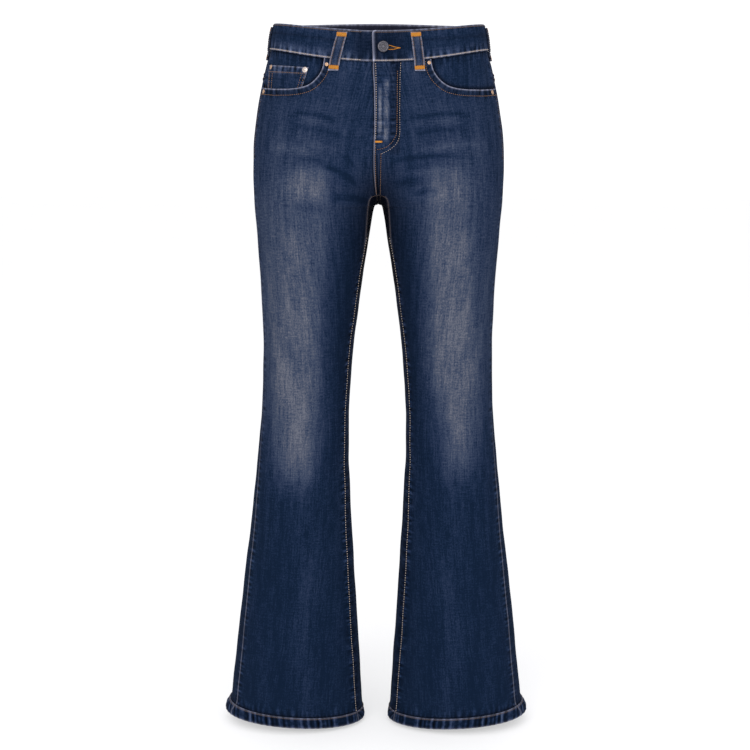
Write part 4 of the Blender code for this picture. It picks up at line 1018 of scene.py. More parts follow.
def coinPocket():
    u, t = np.meshgrid(np.linspace(0, 1, 40), np.linspace(0, 1, 34))
    x, z = coinPlaces(u, t)
    level, along, _ = shapedPlaces(x, z, -1)
    wide, tall = coin["wide"], coin["tall"]
    marks = nearestSeam([(t * tall, u * wide, 1.3, 0.010), (u * wide, t * tall, 1.0, 0.007),
                         ((1 - u) * wide, t * tall, 0.8, 0.006)])
    hemmed = 1 - ease(0.008, 0.0095, t * tall)
    fromSide = np.minimum(u, 1 - u) * wide
    marks.update(fade=0.13 + 0.10 * hemmed, deep=0.0,
                 wear=0.60 * bell(t * tall, 0.0012) + 0.45 * bell(fromSide, 0.0011)
                 + 0.25 * bell(t * tall - 0.0090, 0.0008))
    lift = -facingDepth + 0.0006 * hemmed + 0.0003 * (1 - ease(0.006, 0.008, fromSide))
    return clothWall("coinPocket", level, along, -1, lift, -facingDepth - cut["coinThick"],
                     [cloths["panel"], cloths["inside"]], marks)


coinPocket()


seatPocket = {"half": 0.0650, "taper": 0.0085, "middle": 0.0850, "lean": 0.005, "top": -0.1080, "topRise": 0.004,
              "sideDrop": 0.118, "point": 0.022, "tall": 0.125, "footTall": 0.130, "sewHalf": 0.060}


def backPocketPlaces(u, v):
    half = seatPocket["half"] - seatPocket["taper"] * v
    x = seatPocket["middle"] + seatPocket["lean"] * v + half * u
    z = (seatPocket["top"] + seatPocket["topRise"] * u - seatPocket["sideDrop"] * v
         - seatPocket["point"] * v * (1 - np.abs(u)))
    return x, z


def backPocket(name, side):
    u, v = np.meshgrid(np.linspace(-1, 1, 57), np.linspace(0, 1, 56))
    x, z = backPocketPlaces(u, v)
    level, along, _ = shapedPlaces(x, z, 1)
    half = seatPocket["half"] - seatPocket["taper"] * v
    fromSide, fromTop = (1 - np.abs(u)) * half, v * seatPocket["tall"]
    fromFoot = (1 - v) * seatPocket["footTall"]
    marks = nearestSeam([(fromTop, u * half, 1.0, 0.012), (fromSide, v * seatPocket["tall"], 0.8, 0.009),
                         (fromFoot, u * half, 0.8, 0.009)])
    point, _ = onCloth(level, along, side)
    fade, deep = washMarks(point)
    edge = np.minimum(np.minimum(fromSide, fromTop), fromFoot)
    marks.update(fade=fade + 0.10 * (1 - ease(0.012, 0.014, fromTop)), deep=deep,
                 wear=0.40 * bell(edge, 0.0014))
    lift = (0.0016 + 0.0004 * (1 - ease(0.013, 0.015, fromTop))
            + 0.0002 * (1 - ease(0.007, 0.009, np.minimum(fromSide, fromFoot))))
    return clothWall(name, level, along, side, lift, 0.0009 - 0.0006 * ease(0.004, 0.0, edge),
                     [cloths["panel"], cloths["inside"]], marks)


backPocket("backPocketRight", -1)
backPocket("backPocketLeft", 1)
print("stage: pockets")


def flyLayer(name, leftX, rightX, lowZ, outside, thick, corner, material):
    t, u = np.meshgrid(np.linspace(0, 1, 36), np.linspace(0, 1, 14), indexing="ij")
    z = flyTop + (lowZ - flyTop) * t
    cutAway = corner * (1.0 - np.sqrt(np.maximum(1.0 - ease(0.62, 1.02, t) ** 2, 0.0)))
    x = leftX + (rightX - cutAway - leftX) * u
    level, along, hand = shapedPlaces(x, z, -1)
    level[0] = panelTop
    return clothWall(name, level, along * hand, 1, -outside, -outside - thick, [material, material],
                     {"deep": 0.2, "fade": 0.03})


flyTop = -0.0360
# name, x of the two edges, height of the foot, depth behind the cloth, thickness, rounding, cloth
for row in (("flyFacing", -0.0040, 0.0350, -0.160, 0.0019, 0.0009, 0.030, "facing"),
            ("zipTapes", -0.0120, 0.0170, -0.150, 0.0033, 0.0011, 0.004, "tape"),
            ("flyShield", -0.0200, 0.0370, -0.164, 0.0049, 0.0010, 0.024, "facing")):
    flyLayer(*row[:-1], cloths[row[-1]])

band = {"columns": 520, "roping": 0.00022, "endRound": 0.0045}


def waistband():
    topLength, lowLength = frontLength(cut["bandTop"]), frontLength(cut["bandLow"])
    places = np.concatenate((np.linspace(0.0, 0.06, 12)[:-1], np.linspace(0.06, 3.70, band["columns"])[:-1],
                             np.linspace(3.70, 4.0 + cut["underEnd"] / topLength, 50)))
    top, low, proud, thick = cut["bandTop"], cut["bandLow"], cut["bandProud"], cut["bandThick"]
    mid = proud - 0.5 * thick
    profile = [(low, proud - 0.0004), (low + 0.0004, proud)]
    profile += [(z, proud) for z in np.linspace(low + 0.0015, top - 0.0022, 16)]
    profile += [(top - 0.0008, proud - 0.0002), (top - 0.0001, proud - 0.0008), (top + 0.0002, mid),
                (top - 0.0001, mid - 0.0008), (top - 0.0008, proud - thick + 0.0002)]
    profile += [(z, proud - thick) for z in np.linspace(top - 0.0030, low + 0.0004, 8)]
    profile += [(low, proud - thick + 0.0004)]
    profile = np.array(profile)
    level = np.broadcast_to(profile[:, :1], (len(profile), len(places)))
    share = (cut["bandTop"] - level) / (cut["bandTop"] - cut["bandLow"])
    length = topLength + (lowLength - topLength) * share
    corner = np.clip(band["endRound"] - (top - level), 0, band["endRound"])
    cutBack = band["endRound"] - np.sqrt(band["endRound"] ** 2 - corner ** 2)
    over = (cut["overEnd"] + 0.0016 * (0.5 - share) - cutBack) / length
    place = np.broadcast_to(places, level.shape)
    along = np.where(place < 0.06, -over + (0.06 + over) * place / 0.06, place)
    metres = np.where(place <= 1.0, along * frontLength(level), 0)
    metres = np.where((place > 1.0) & (place <= 3.0), frontLength(level) + (along - 1) * backLength(level), metres)
    metres = np.where(place > 3.0, frontLength(level) + 2 * backLength(level) + (along - 3) * frontLength(level), metres)
    even = np.broadcast_to(metres[8:9], level.shape)
    tuck = -(thick + 0.0004) * ease(3.70, 3.92, place)
    wave = np.sin(even * 2 * math.pi / 0.0092 + 1.7 * np.sin(even * 41) + level * 20) * (0.6 + 0.4 * np.sin(even * 63))
    nearEdge = bell(level - low, 0.008) + 0.7 * bell(top - level, 0.006)
    outer = profile[:, 1:] > mid
    rope = np.where(outer, band["roping"] * wave * nearEdge, 0.0)
    point, out = onCloth(level, along, 1)
    verts = (point + out * (profile[:, 1:] + tuck + rope)[..., None]).reshape(-1, 3)
    rows, columns = level.shape
    grid = np.arange(rows * columns).reshape(rows, columns)
    grid = np.concatenate((grid, grid[:1]), 0)
    faces = gridFaces(grid).tolist() + [list(grid[:-1, 0][::-1]), list(grid[:-1, -1])]
    isInside = (profile[:, 1] < mid - 0.0005)
    slots = np.broadcast_to(isInside[:, None], (rows, columns - 1)).astype(int).ravel().tolist() + [0, 0]
    seams = [(level - low, even, 1.25, 0.0075), (top - level, even, 0.8, 0.004)]
    marks = nearestSeam(seams)
    fromEnd = metres + over * length
    x = np.abs(point[..., 0])
    front = point[..., 1] < 0
    leftHand = front & (point[..., 0] > 0.002)
    pale = 0.10 + 0.03 * np.sin(even * 17) + 0.05 * bell(top - level - 0.006, 0.004) - 0.05 * leftHand
    lowPale = bell(level - low - 0.0075, 0.0050)
    pale = pale + (0.20 - 0.09 * leftHand) * lowPale * np.where(front, ease(0.012, 0.045, x), 1.0)
    pale = pale + 0.16 * bell(fromEnd - 0.004, 0.004)
    pale = pale + 0.18 * np.exp(-((metres - 0.001) / 0.006) ** 2 - ((level - low - 0.006) / 0.005) ** 2)
    line = level - 0.0065 - 0.0012 * np.sin(even * 30)
    # painted shade: darker near the front centre, a dark line just inside the over end, and a dark line along the band
    # beyond the front
    shade = (0.46 * ease(0.050, 0.024, x) + 0.50 * bell(fromEnd - 0.0062, 0.0015)
             + 0.30 * bell(line, 0.0018) * ease(0.045, 0.060, x))
    rubbed = (0.60 * bell(top - level, 0.0012) + 0.80 * bell(fromEnd, 0.0021)
              + 0.60 * bell(level - low - 0.0012, 0.0011))
    marks.update(fade=np.clip(pale, 0, 1), deep=np.where(front & outer, np.clip(shade, 0, 0.8), 0.0),
                 wear=np.where(outer, rubbed, 0.85 * bell(top - level, 0.0016)))
    marks = {key: np.broadcast_to(value, level.shape).ravel() for key, value in marks.items()}
    flat = np.stack((even, -level), -1).reshape(-1, 2)
    # outward faces
    a, b, c = (verts[faces[5 * (columns - 1) + 40][k]] for k in range(3))
    if np.dot(np.cross(b - a, c - a), out[5, 40]) < 0:
        faces = [face[::-1] for face in faces]
    return addPiece("waistbandStrip", verts, faces, [cloths["strip"], cloths["bandInside"]], marks, flat, slots)


waistband()

hems = {"columns": 300, "roping": 0.00030}


def hem(name, side):
    top, low = cut["hemTop"], cut["hemLow"]
    profile = [(z, 0.0006) for z in np.linspace(top, low + 0.0025, 9)]
    profile[0] = (top, 0.0000)
    profile[1] = (top - 0.0006, 0.0005)
    profile += [(low + 0.0010, 0.0004), (low + 0.0002, -0.0003), (low, -0.0011), (low + 0.0002, -0.0019),
                (low + 0.0010, -0.0025)]
    profile += [(z, -0.0026) for z in np.linspace(low + 0.0030, top, 5)]
    profile = np.array(profile)
    place = np.linspace(0.0, 2.0, hems["columns"] + 1)[:-1]
    level = np.broadcast_to(profile[:, :1], (len(profile), len(place)))
    along = np.broadcast_to(place, level.shape)
    metres = np.where(along <= 1, along * frontLength(level), frontLength(level) + (along - 1) * backLength(level))
    mid = -0.0011
    outer = profile[:, 1:] > mid
    wave = np.sin(metres * 2 * math.pi / 0.0105 + 1.5 * np.sin(metres * 37 + side) + (level - top) * 260)
    rope = np.where(outer, hems["roping"] * wave, 0.0)
    point, out = onCloth(level, along, side)
    point = point + np.array((0.5 * cut["seamGap"] * side, 0, 0))
    verts = (point + out * (profile[:, 1:] + rope)[..., None]).reshape(-1, 3)
    rows, columns = level.shape
    grid = np.arange(rows * columns).reshape(rows, columns)
    grid = np.concatenate((grid, grid[:1]), 0)
    grid = np.concatenate((grid, grid[:, :1]), 1)
    faces = gridFaces(grid)
    k = 3 * columns + 40
    a, b, c = (verts[faces[k][n]] for n in range(3))
    if np.dot(np.cross(b - a, c - a), out[3, 40]) < 0:
        faces = faces[:, ::-1]
    slots = np.broadcast_to((profile[:, 1] < mid)[:, None], (rows, columns)).astype(int).ravel()
    marks = nearestSeam([(np.abs(0.5 * (top + low) - level), metres, 1.4, 0.011)])
    around = frontLength(level) + backLength(level)
    fromInseam, fromSide = np.minimum(metres, around - metres), metres - frontLength(level)
    bySeam = bell(fromInseam, 0.007) + 0.6 * bell(fromSide, 0.006)
    atSeam = bell(fromInseam, 0.0011) + bell(fromSide, 0.0011)
    rubbed = (0.50 * bell(level - low - 0.0008, 0.0011)
              + 0.34 * bell(top - level - 0.0003, 0.0008) + 0.38 * atSeam)
    marks.update(fade=0.04 + 0.18 * bySeam, deep=0.22, wear=np.where(outer, rubbed, 0.0))
    marks = {key: np.broadcast_to(value, level.shape).ravel() for key, value in marks.items()}
    flat = np.stack((metres, -level), -1).reshape(-1, 2)
    return addPiece(name, verts, faces, [cloths["strip"], cloths["inside"]], marks, flat, slots)


hem("hemRight", -1)
hem("hemLeft", 1)
print("stage: waistband and hems")

loops = {"width": 0.0142, "thick": 0.0012, "stand": 0.0030, "sideStand": 0.0004, "sideThick": 0.0023, "seat": 0.0003,
         "sideTop": 0.0150, "sideLow": -0.0310, "rows": 46, "columns": 11}
# name, x and height of the top, x and height of the foot
frontLoops = (("beltLoopFrontRight", -0.0506, 0.0056, -0.0636, -0.0468),
              ("beltLoopFrontLeft", 0.0500, 0.0060, 0.0566, -0.0468))


def loopBuild(name):
    return (loops["stand"], loops["thick"]) if "Front" in name else (loops["sideStand"], loops["sideThick"])


def loopAway(t, topLevel, lowLevel, stand):
    level = topLevel + (lowLevel - topLevel) * t
    seat = loops["seat"] + np.where(level > cut["bandLow"] - (0.004 if stand > 0.002 else 0.0006), cut["bandProud"], 0.0)
    arch = ease(0.10, 0.30, t) * (1.0 - (ease(0.72, 0.90, t) if stand > 0.002 else ease(0.62, 0.72, t)))
    return seat + (stand + cut["bandProud"] - seat) * arch


def loopStrip(name, level, along, side):
    rows, columns = level.shape
    t = np.broadcast_to(np.linspace(0, 1, rows)[:, None], level.shape)
    u = np.broadcast_to(np.linspace(-1, 1, columns)[None, :], level.shape)
    stand, thick = loopBuild(name)
    away = loopAway(t, level[0].mean(), level[-1].mean(), stand)
    crown = 0.0003 * (bell(np.abs(u) - 0.78, 0.16)) - 0.0002 * (np.abs(u) > 0.97)
    # painted shade: side loops darker all over with little of their wear showing, and dark beds under the stitch rows
    sideLoopShade, worn = (0.60, 0.12) if "Side" in name else (0.0, 1.0)
    marks = {"fade": 0.36 + 0.06 * np.sin(t * 9), "deep": sideLoopShade + 0.80 * bell(np.abs(u) - 0.60, 0.14),
             "wear": (0.72 * bell(1 - np.abs(u), 0.22) + 0.7 * (t > 0.972) + 0.6 * (t < 0.028)) * worn,
             "pucker": 0.9 * bell(1 - np.abs(u), 0.5), "run": t * 0.055, "reach": (1 - np.abs(u)) * 0.007}
    flat = np.stack((u * 0.007, t * 0.055), -1)
    return clothWall(name, level, along, side, away + thick + crown, away, [cloths["strip"], cloths["inside"]], marks,
                     flat=flat)


loopPaths = {}
t, u = np.meshgrid(np.linspace(0, 1, loops["rows"]), np.linspace(-0.5, 0.5, loops["columns"]), indexing="ij")
for name, topX, topZ, lowX, lowZ in frontLoops:
    level, along, _ = shapedPlaces(topX + (lowX - topX) * t + u * loops["width"], topZ + (lowZ - topZ) * t, -1)
    side = -1 if topX < 0 else 1
    if side < 0:
        level, along = level[:, ::-1], along[:, ::-1]
    loopPaths[name] = (level, along, side)
for name, middle, side in (("beltLoopSideRight", 1.052, -1), ("beltLoopSideLeft", 1.052, 1), ("beltLoopBack", 2.0, 1)):
    level = loops["sideTop"] + (loops["sideLow"] - loops["sideTop"]) * t
    loopPaths[name] = (level, middle + u * loops["width"] / backLength(level), side)
for name, (level, along, side) in loopPaths.items():
    loopStrip(name, level, along, side)
print("stage: belt loops")


def turned(name, middle, out, profile, count, material, petals=None):
    out = out / np.linalg.norm(out)
    across = np.cross(out, (0.0, 0.0, 1.0))
    across /= np.linalg.norm(across)
    up = np.cross(across, out)
    angle = np.linspace(0, 2 * math.pi, count + 1)[:-1]
    verts = [middle + out * profile[0][1]]
    for radius, height in profile[1:-1]:
        wave = petals[1] * np.cos(petals[0] * angle) * (petals[2] < radius < petals[3]) if petals else 0.0 * angle
        spoke = across * np.cos(angle)[:, None] + up * np.sin(angle)[:, None]
        verts += list(middle + out * (height + wave)[:, None] + spoke * radius)
    verts.append(middle + out * profile[-1][1])
    rings = len(profile) - 2
    faces = []
    for i in range(count):
        k = (i + 1) % count
        faces.append((0, 1 + k, 1 + i))
        faces.append((len(verts) - 1, 1 + (rings - 1) * count + i, 1 + (rings - 1) * count + k))
        for r in range(rings - 1):
            faces.append((1 + r * count + i, 1 + r * count + k, 1 + (r + 1) * count + k, 1 + (r + 1) * count + i))
    return addPiece(name, np.array(verts), faces, [material])


rivetRows = (
    ("rivetPocketUpperRight", -0.0722, -0.0384, 0.0026, "front", "copper"),
    ("rivetPocketUpperLeft", 0.0690, -0.0355, 0.0026, "front", "copper"),
    ("rivetPocketLowerRight", -0.1625, -0.0752, 0.0033, "front", "copper"),
    ("rivetPocketLowerLeft", 0.1600, -0.0750, 0.0033, "front", "copper"),
    ("rivetCoinOuter", -0.1540, -0.0405, 0.0034, "coin", "copper"),
    ("rivetCoinInner", -0.1035, -0.0452, 0.0041, "coin", "silver"),
)
# turned forms: share of the radius, then height in metres for the rivet and share of the height for the button
rivetForm = ((0, 0), (0.9, 0), (1, 0.0002), (1, 0.0005), (0.93, 0.0008), (0.78, 0.0010), (0.62, 0.0009),
             (0.50, 0.0010), (0.36, 0.0015), (0.18, 0.0017), (0, 0.00175))
buttonForm = ((0, 0), (0.60, 0), (0.62, 0.30), (0.90, 0.34), (0.98, 0.46), (1, 0.60), (0.97, 0.78), (0.90, 0.92),
              (0.82, 1), (0.74, 0.97), (0.69, 0.84), (0.64, 0.76), (0.50, 0.77), (0.44, 0.84), (0.38, 0.84),
              (0.32, 0.74), (0.12, 0.72), (0, 0.70))
button = {"x": 0.0056, "z": -0.0142, "radius": 0.0079, "height": 0.0040, "petals": (7, 0.00045, 0.0020, 0.0056)}
for name, x, z, radius, layer, metal in rivetRows:
    level, along, hand = (float(value[0]) for value in findPlace(x, z, -1))
    point, out = onCloth(level, along, hand)
    seat = 0.0003 - (facingDepth if layer == "coin" else -0.0006)
    form = [(share * radius, seat + height) for share, height in rivetForm]
    turned(name, point, out, form, 32, metals[metal])

level, along, hand = (float(value[0]) for value in findPlace(button["x"], button["z"], -1))
point, out = onCloth(level, along, hand)
seat = cut["bandProud"] + 0.0003
form = [(share * button["radius"], seat + tall * button["height"]) for share, tall in buttonForm]
turned("shankButton", point, out, form, 56, metals["pewter"], petals=button["petals"])
print("stage: rivets and button")

# Usual distance from stitch to stitch, length and half thickness of one.
sewing = {"pitch": 0.0030, "stitch": 0.0019, "thick": 0.00036}
sewn = {key: [] for key in threads}


def addStitches(thread, middle, way, out, length, thick):
    # Short rounded threads, each lying on the cloth.
    way = way / np.linalg.norm(way, axis=1, keepdims=True)
    out = out - way * np.sum(out * way, axis=1, keepdims=True)
    out /= np.linalg.norm(out, axis=1, keepdims=True)
    across = np.cross(way, out)
    angle = np.linspace(0, 2 * math.pi, 7)[:-1]
    places, scale, drop = np.array((-0.5, -0.30, 0.30, 0.5)), np.array((0.45, 1.0, 1.0, 0.45)), np.array((-0.5, 0.0, 0.0, -0.5))
    rings = []
    for p, s, d in zip(places, scale, drop):
        centre = middle + way * (p * length) + out * (d * thick)
        spoke = across[:, None] * np.cos(angle)[:, None] + out[:, None] * np.sin(angle)[:, None]
        rings.append(centre[:, None] + spoke * (s * thick))
    ends = [middle + way * (p * length) + out * (-0.6 * thick) for p in (-0.53, 0.53)]
    sewn[thread].append(np.concatenate((np.stack(rings, 1).reshape(len(middle), 24, 3), ends[0][:, None], ends[1][:, None]), 1))


def sewLine(thread, level, along, side, away, pitch=None, stitch=None, thick=None):
    pitch, stitch, thick = pitch or sewing["pitch"], stitch or sewing["stitch"], thick or sewing["thick"]
    level, along = np.broadcast_arrays(np.asarray(level, float), np.asarray(along, float))
    point, out = onCloth(level, along, side)
    point = point + out * np.broadcast_to(np.asarray(away, float), level.shape)[..., None]
    steps = np.linalg.norm(np.diff(point, axis=0), axis=1)
    length = np.concatenate(([0.0], np.cumsum(steps)))
    count = int(length[-1] / pitch)
    if count < 1:
        return
    where = (np.arange(count) + 0.5) * length[-1] / count

    def at(place, table):
        return np.stack([np.interp(place, length, table[:, k]) for k in range(3)], -1)

    ahead = at(where + 0.4 * pitch, point) - at(where - 0.4 * pitch, point)
    addStitches(thread, at(where, point), ahead, at(where, out), stitch * np.ones((count, 1)), thick)


def frontSew(thread, xs, zs, extra=0.0, fine=80, **more):
    # A line of sewing on the front panels, given as seen from the front.
    t = np.concatenate(([0.0], np.cumsum(np.hypot(np.diff(xs), np.diff(zs)))))
    at = np.linspace(0, t[-1], fine)
    x, z = np.interp(at, t, xs), np.interp(at, t, zs)
    for _ in range(6):
        x[1:-1], z[1:-1] = (x[:-2] + x[1:-1] + x[2:]) / 3, (z[:-2] + z[1:-1] + z[2:]) / 3
    level, along, hand = findPlace(x, z, -1)
    signed = along * hand
    onLeft = signed * frontLength(level) > -flyOffset(level)
    lift = np.where(onLeft, frontLift(1, level, signed), frontLift(-1, level, along))
    sewLine(thread, level, signed, 1, lift + extra + 0.0002, **more)


threadLift = 0.00018
for side in (-1, 1):
    # felled inseam: one pale row on the front, beside the seam, from below the crotch's own row
    level = np.linspace(cut["crotch"] - 0.008, panelLow, 420)
    level = level[level < -0.281]
    along = 0.0018 / frontLength(level)
    sewLine("cream", level, along, side, frontLift(side, level, along) + threadLift,
            pitch=0.0037, stitch=0.0019, thick=0.00060)
    # side seam below the pocket
    level = np.linspace(-0.078, -0.170, 60)
    along = 1 - 0.0030 / frontLength(level)
    sewLine("brown", level, along, side, frontLift(side, level, along) + threadLift)
    # pocket edge: a tan row inside it
    lineA, lineZ = pocketLines[side]
    s = lineA * frontLength(lineZ)
    dx, dz = np.gradient(s), np.gradient(lineZ)
    size = np.hypot(dx, dz)
    px, pz = s + 0.0088 * dz / size, lineZ - 0.0088 * dx / size
    keep = (pz < panelTop - 0.001) & (px < frontLength(pz) - 0.001)
    px, pz = px[keep], pz[keep]
    along = px / frontLength(pz)
    sewLine("tan", pz, along, side, frontLift(side, pz, along) + threadLift)
    # hem
    place = np.linspace(0.002, 1.998, 260)
    level = cut["hemTop"] - 0.0018
    sewLine("brown", level + 0 * place, place, side, 0.0009, stitch=0.0026)
    # yoke, two rows
    for gap in (0.0018, 0.0078):
        share = np.linspace(0.005, 0.985, 120)
        level = yokeLow(share) + gap
        sewLine("tan", level, 1 + share, side, backLift(level, 1 + share, True) + threadLift)
    # back pocket
    for gap in (0.0018, 0.0075):
        g, foot = gap / seatPocket["sewHalf"], 1 - gap / seatPocket["sideDrop"]
        us = np.concatenate((np.full(40, -1 + g), np.linspace(-1 + g, 0, 30), np.linspace(0, 1 - g, 30),
                             np.full(40, 1 - g)))
        vs = np.concatenate((np.linspace(0.01, foot, 40), np.full(60, foot), np.linspace(foot, 0.01, 40)))
        x, z = backPocketPlaces(us, vs)
        level, along, _ = findPlace(x, z, 1)
        sewLine("tan", level, along, side, 0.0019)
    for v in (0.020, 0.100):
        us = np.linspace(-0.96, 0.96, 60)
        x, z = backPocketPlaces(us, np.full(60, v))
        level, along, _ = findPlace(x, z, 1)
        sewLine("tan", level, along, side, 0.0021)

# seat seam, two rows on the wearer's left
level = np.linspace(panelTop - 0.001, cut["crotch"] + 0.012, 160)
for gap in (0.0018, 0.0078):
    along = 2 - gap / backLength(level)
    sewLine("tan", level, along, 1, backLift(level, along, False) + threadLift + 0.0001)

# one row over the crotch, from leg to leg, and the ends of the two centre rows
for x in (-0.0022, 0.0030):
    frontSew("brown", np.array((x, 0.8 * x)), np.array((-0.2205, -0.2285)), fine=20, stitch=0.0015, thick=0.0003)
zs = np.array([row[0] for row in crotchRows[:9]])
xs = np.array([row[1] for row in crotchRows[:9]])
frontSew("brown", np.concatenate((-xs[::-1], xs[1:])), np.concatenate((zs[::-1], zs[1:])), fine=160, stitch=0.0024, thick=0.0004)

# fly: two rows down and round to the centre seam
frontSew("cream", np.array((0.0300, 0.0290, 0.0287, 0.0292, 0.0291, 0.0280, 0.0254, 0.0212, 0.0166, 0.0115, 0.0063, 0.0034)),
         np.array((-0.0350, -0.0560, -0.1000, -0.1250, -0.1320, -0.1390, -0.1450, -0.1498, -0.1533, -0.1563, -0.1586, -0.1604)),
         fine=140, pitch=0.0032, stitch=0.0015, thick=0.00038)
frontSew("tan", np.array((0.0256, 0.0253, 0.0253, 0.0250, 0.0238, 0.0190, 0.0114, 0.0028, -0.0026)),
         np.array((-0.0460, -0.0650, -0.1000, -0.1275, -0.1355, -0.1435, -0.1507, -0.1534, -0.1540)), fine=130)
# along the fly edge and down the centre seam below it
for thread, top, low in (("cream", -0.0360, -0.1400), ("tan", -0.1470, -0.2180)):
    zs = np.linspace(top, low, 20)
    frontSew(thread, 0.0024 - flyOffset(zs - 0.006), zs, pitch=0.0031, stitch=0.0015, thick=0.00048)
frontSew("tan", np.array((0.0032, 0.0031, 0.0029)), np.array((-0.1590, -0.1900, -0.2190)))

# coin pocket
for gap in (0.0024, 0.0070):
    for u in (gap / coin["wide"], 1 - gap / coin["wide"]):
        x, z = coinPlaces(np.full(50, u), np.linspace(0.22, 0.80, 50))
        level, along, _ = findPlace(x, z, -1)
        sewLine("tan", level, along, -1, -facingDepth + 0.0005)
x, z = coinPlaces(np.linspace(0.02, 0.98, 50), np.full(50, 0.19))
level, along, _ = findPlace(x, z, -1)
sewLine("tan", level, along, -1, -facingDepth + 0.0008)

# waistband: top and bottom rows and the over end
overAlong = -cut["overEnd"] / frontLength(0.0)
for level, thread in ((cut["bandTop"] - 0.0024, "brown"), (cut["bandLow"] + 0.0016, "cream")):
    place = np.linspace(overAlong + 0.010, 3.86, 620)
    sewLine(thread, np.full(620, level), place, 1, cut["bandProud"] + 0.0002, stitch=0.0029, thick=0.00045)
zs = np.linspace(cut["bandTop"] - 0.003, cut["bandLow"] + 0.002, 20)
sewLine("dark", zs, np.linspace(-0.0066, -0.0034, 20) / frontLength(0.0), 1, cut["bandProud"] + 0.0002,
        stitch=0.0015, thick=0.0005)

# belt loops: two tan rows each, brown at the sides, with a row of near-black stitches inside each of them, painted
# shade of the sunk stitch holes
t = np.linspace(0, 1, loops["rows"])
for name, (level, along, side) in loopPaths.items():
    stand, thick = loopBuild(name)
    away = loopAway(t, level[0].mean(), level[-1].mean(), stand) + thick + 0.0004
    pale = "brown" if "Side" in name else "tan"
    for thread, column, skip, stitch, half in ((pale, 1, 3, 0.0017, 0.00052), (pale, 9, 3, 0.0017, 0.00052),
                                               ("dark", 2, 2, 0.0015, 0.00050), ("dark", 8, 2, 0.0015, 0.00050)):
        kept = slice(skip, -skip)
        sewLine(thread, level[kept, column], along[kept, column], side, away[kept] - 0.0002,
                pitch=0.0031, stitch=stitch, thick=half)


def barTack(thread, level, along, side, away, wide, tall, count, turn=False, thick=0.00055):
    # A block of close threads side by side.
    u = np.linspace(-0.5, 0.5, count)
    length = frontLength(level) if along <= 1 else backLength(level)
    if turn:
        point, out = onCloth(level + u * tall, np.full(count, along), side)
        ahead = onCloth(level + u * tall, np.full(count, along + 0.002 / length), side)[0] - point
        size = wide
    else:
        point, out = onCloth(np.full(count, level), along + u * wide / length, side)
        ahead = onCloth(np.full(count, level + 0.002), along + u * wide / length, side)[0] - point
        size = tall
    uneven = 1 + 0.08 * np.sin(np.arange(count) * 2.4)
    addStitches(thread, point + out * away, ahead, out, (size * uneven)[:, None], thick)


t = np.linspace(0, 1, loops["rows"])
for name, (level, along, side) in loopPaths.items():
    stand, thick = loopBuild(name)
    away = loopAway(t, level[0].mean(), level[-1].mean(), stand) + thick + 0.0003
    # at the sides the tack lies towards the front, a little lower and narrower
    shift, lift, wide, count = (0.012, -0.0003, 0.0086, 9) if "Side" in name else (0.0, 0.0002, 0.0126, 13)
    for row in (3, 41):
        z, a = float(level[row, 5]), float(along[row, 5])
        barTack("gold", z, a + shift, side, float(away[row]) + lift, wide, 0.0060, count, thick=0.00058)

# fly bar tack and the buttonhole
level, along, hand = (float(value[0]) for value in findPlace(-0.0004, -0.1433, -1))
barTack("gold", level, along, hand, 0.0014, 0.0106, 0.0020, 4, turn=True, thick=0.0004)
# the buttonhole: two gold rows, and near-black stitches down its slit as painted shade
for thread, xs, zs, thick in (
        ("gold", (0.0125, 0.0170, 0.0215, 0.0292), (-0.0120, -0.0131, -0.0146, -0.0158), 0.00052),
        ("gold", (0.0125, 0.0200, 0.0255, 0.0285), (-0.0180, -0.0178, -0.0163, -0.0159), 0.00052),
        ("dark", (0.0125, 0.0180, 0.0235), (-0.0150, -0.0153, -0.0156), 0.00075)):
    frontSew(thread, np.array(xs), np.array(zs), extra=cut["bandProud"] + 0.0002, fine=40, pitch=0.0011, stitch=0.0014,
             thick=thick)


def finishSewing():
    ringFaces = []
    for r in range(3):
        for i in range(6):
            k = (i + 1) % 6
            ringFaces += [(r * 6 + i, r * 6 + k, (r + 1) * 6 + k), (r * 6 + i, (r + 1) * 6 + k, (r + 1) * 6 + i)]
    for i in range(6):
        k = (i + 1) % 6
        ringFaces += [(24, k, i), (25, 18 + i, 18 + k)]
    ringFaces = np.array(ringFaces)
    for thread, groups in sewn.items():
        points = np.concatenate(groups)
        faces = (ringFaces[None] + (np.arange(len(points)) * 26)[:, None, None]).reshape(-1, 3)
        addPiece("sewing" + thread.capitalize(), points.reshape(-1, 3), faces, [threads[thread]])
        print("stage: sewing", thread, len(points), "stitches")


finishSewing()


def zipTeeth():
    # Closed teeth in the middle of the tape.
    zs = np.arange(-0.046, -0.138, -0.0021)
    level, along, hand = findPlace(np.full(len(zs), 0.0025), zs, -1)
    point, out = onCloth(level, along * hand, 1)
    out = out / np.linalg.norm(out, axis=1, keepdims=True)
    way = np.tile((1.0, 0.0, 0.0), (len(zs), 1))
    way = way - out * np.sum(way * out, axis=1, keepdims=True)
    up = np.cross(out, way)
    verts, faces = [], []
    corners = [(a, b, c) for a in (-1, 1) for b in (-1, 1) for c in (-1, 1)]
    quads = ((0, 1, 3, 2), (4, 6, 7, 5), (0, 4, 5, 1), (2, 3, 7, 6), (0, 2, 6, 4), (1, 5, 7, 3))
    for i in range(len(zs)):
        for a, b, c in corners:
            verts.append(point[i] - out[i] * (0.0044 + 0.00025 * (1 - c))
                         + way[i] * (0.0019 * a + 0.0007 * (-1) ** i) + up[i] * 0.0007 * b)
        faces += [tuple(8 * i + k for k in quad) for quad in quads]
    return addPiece("zipTeeth", np.array(verts), faces, [metals["steel"]], smoothFaces=False)


zipTeeth()

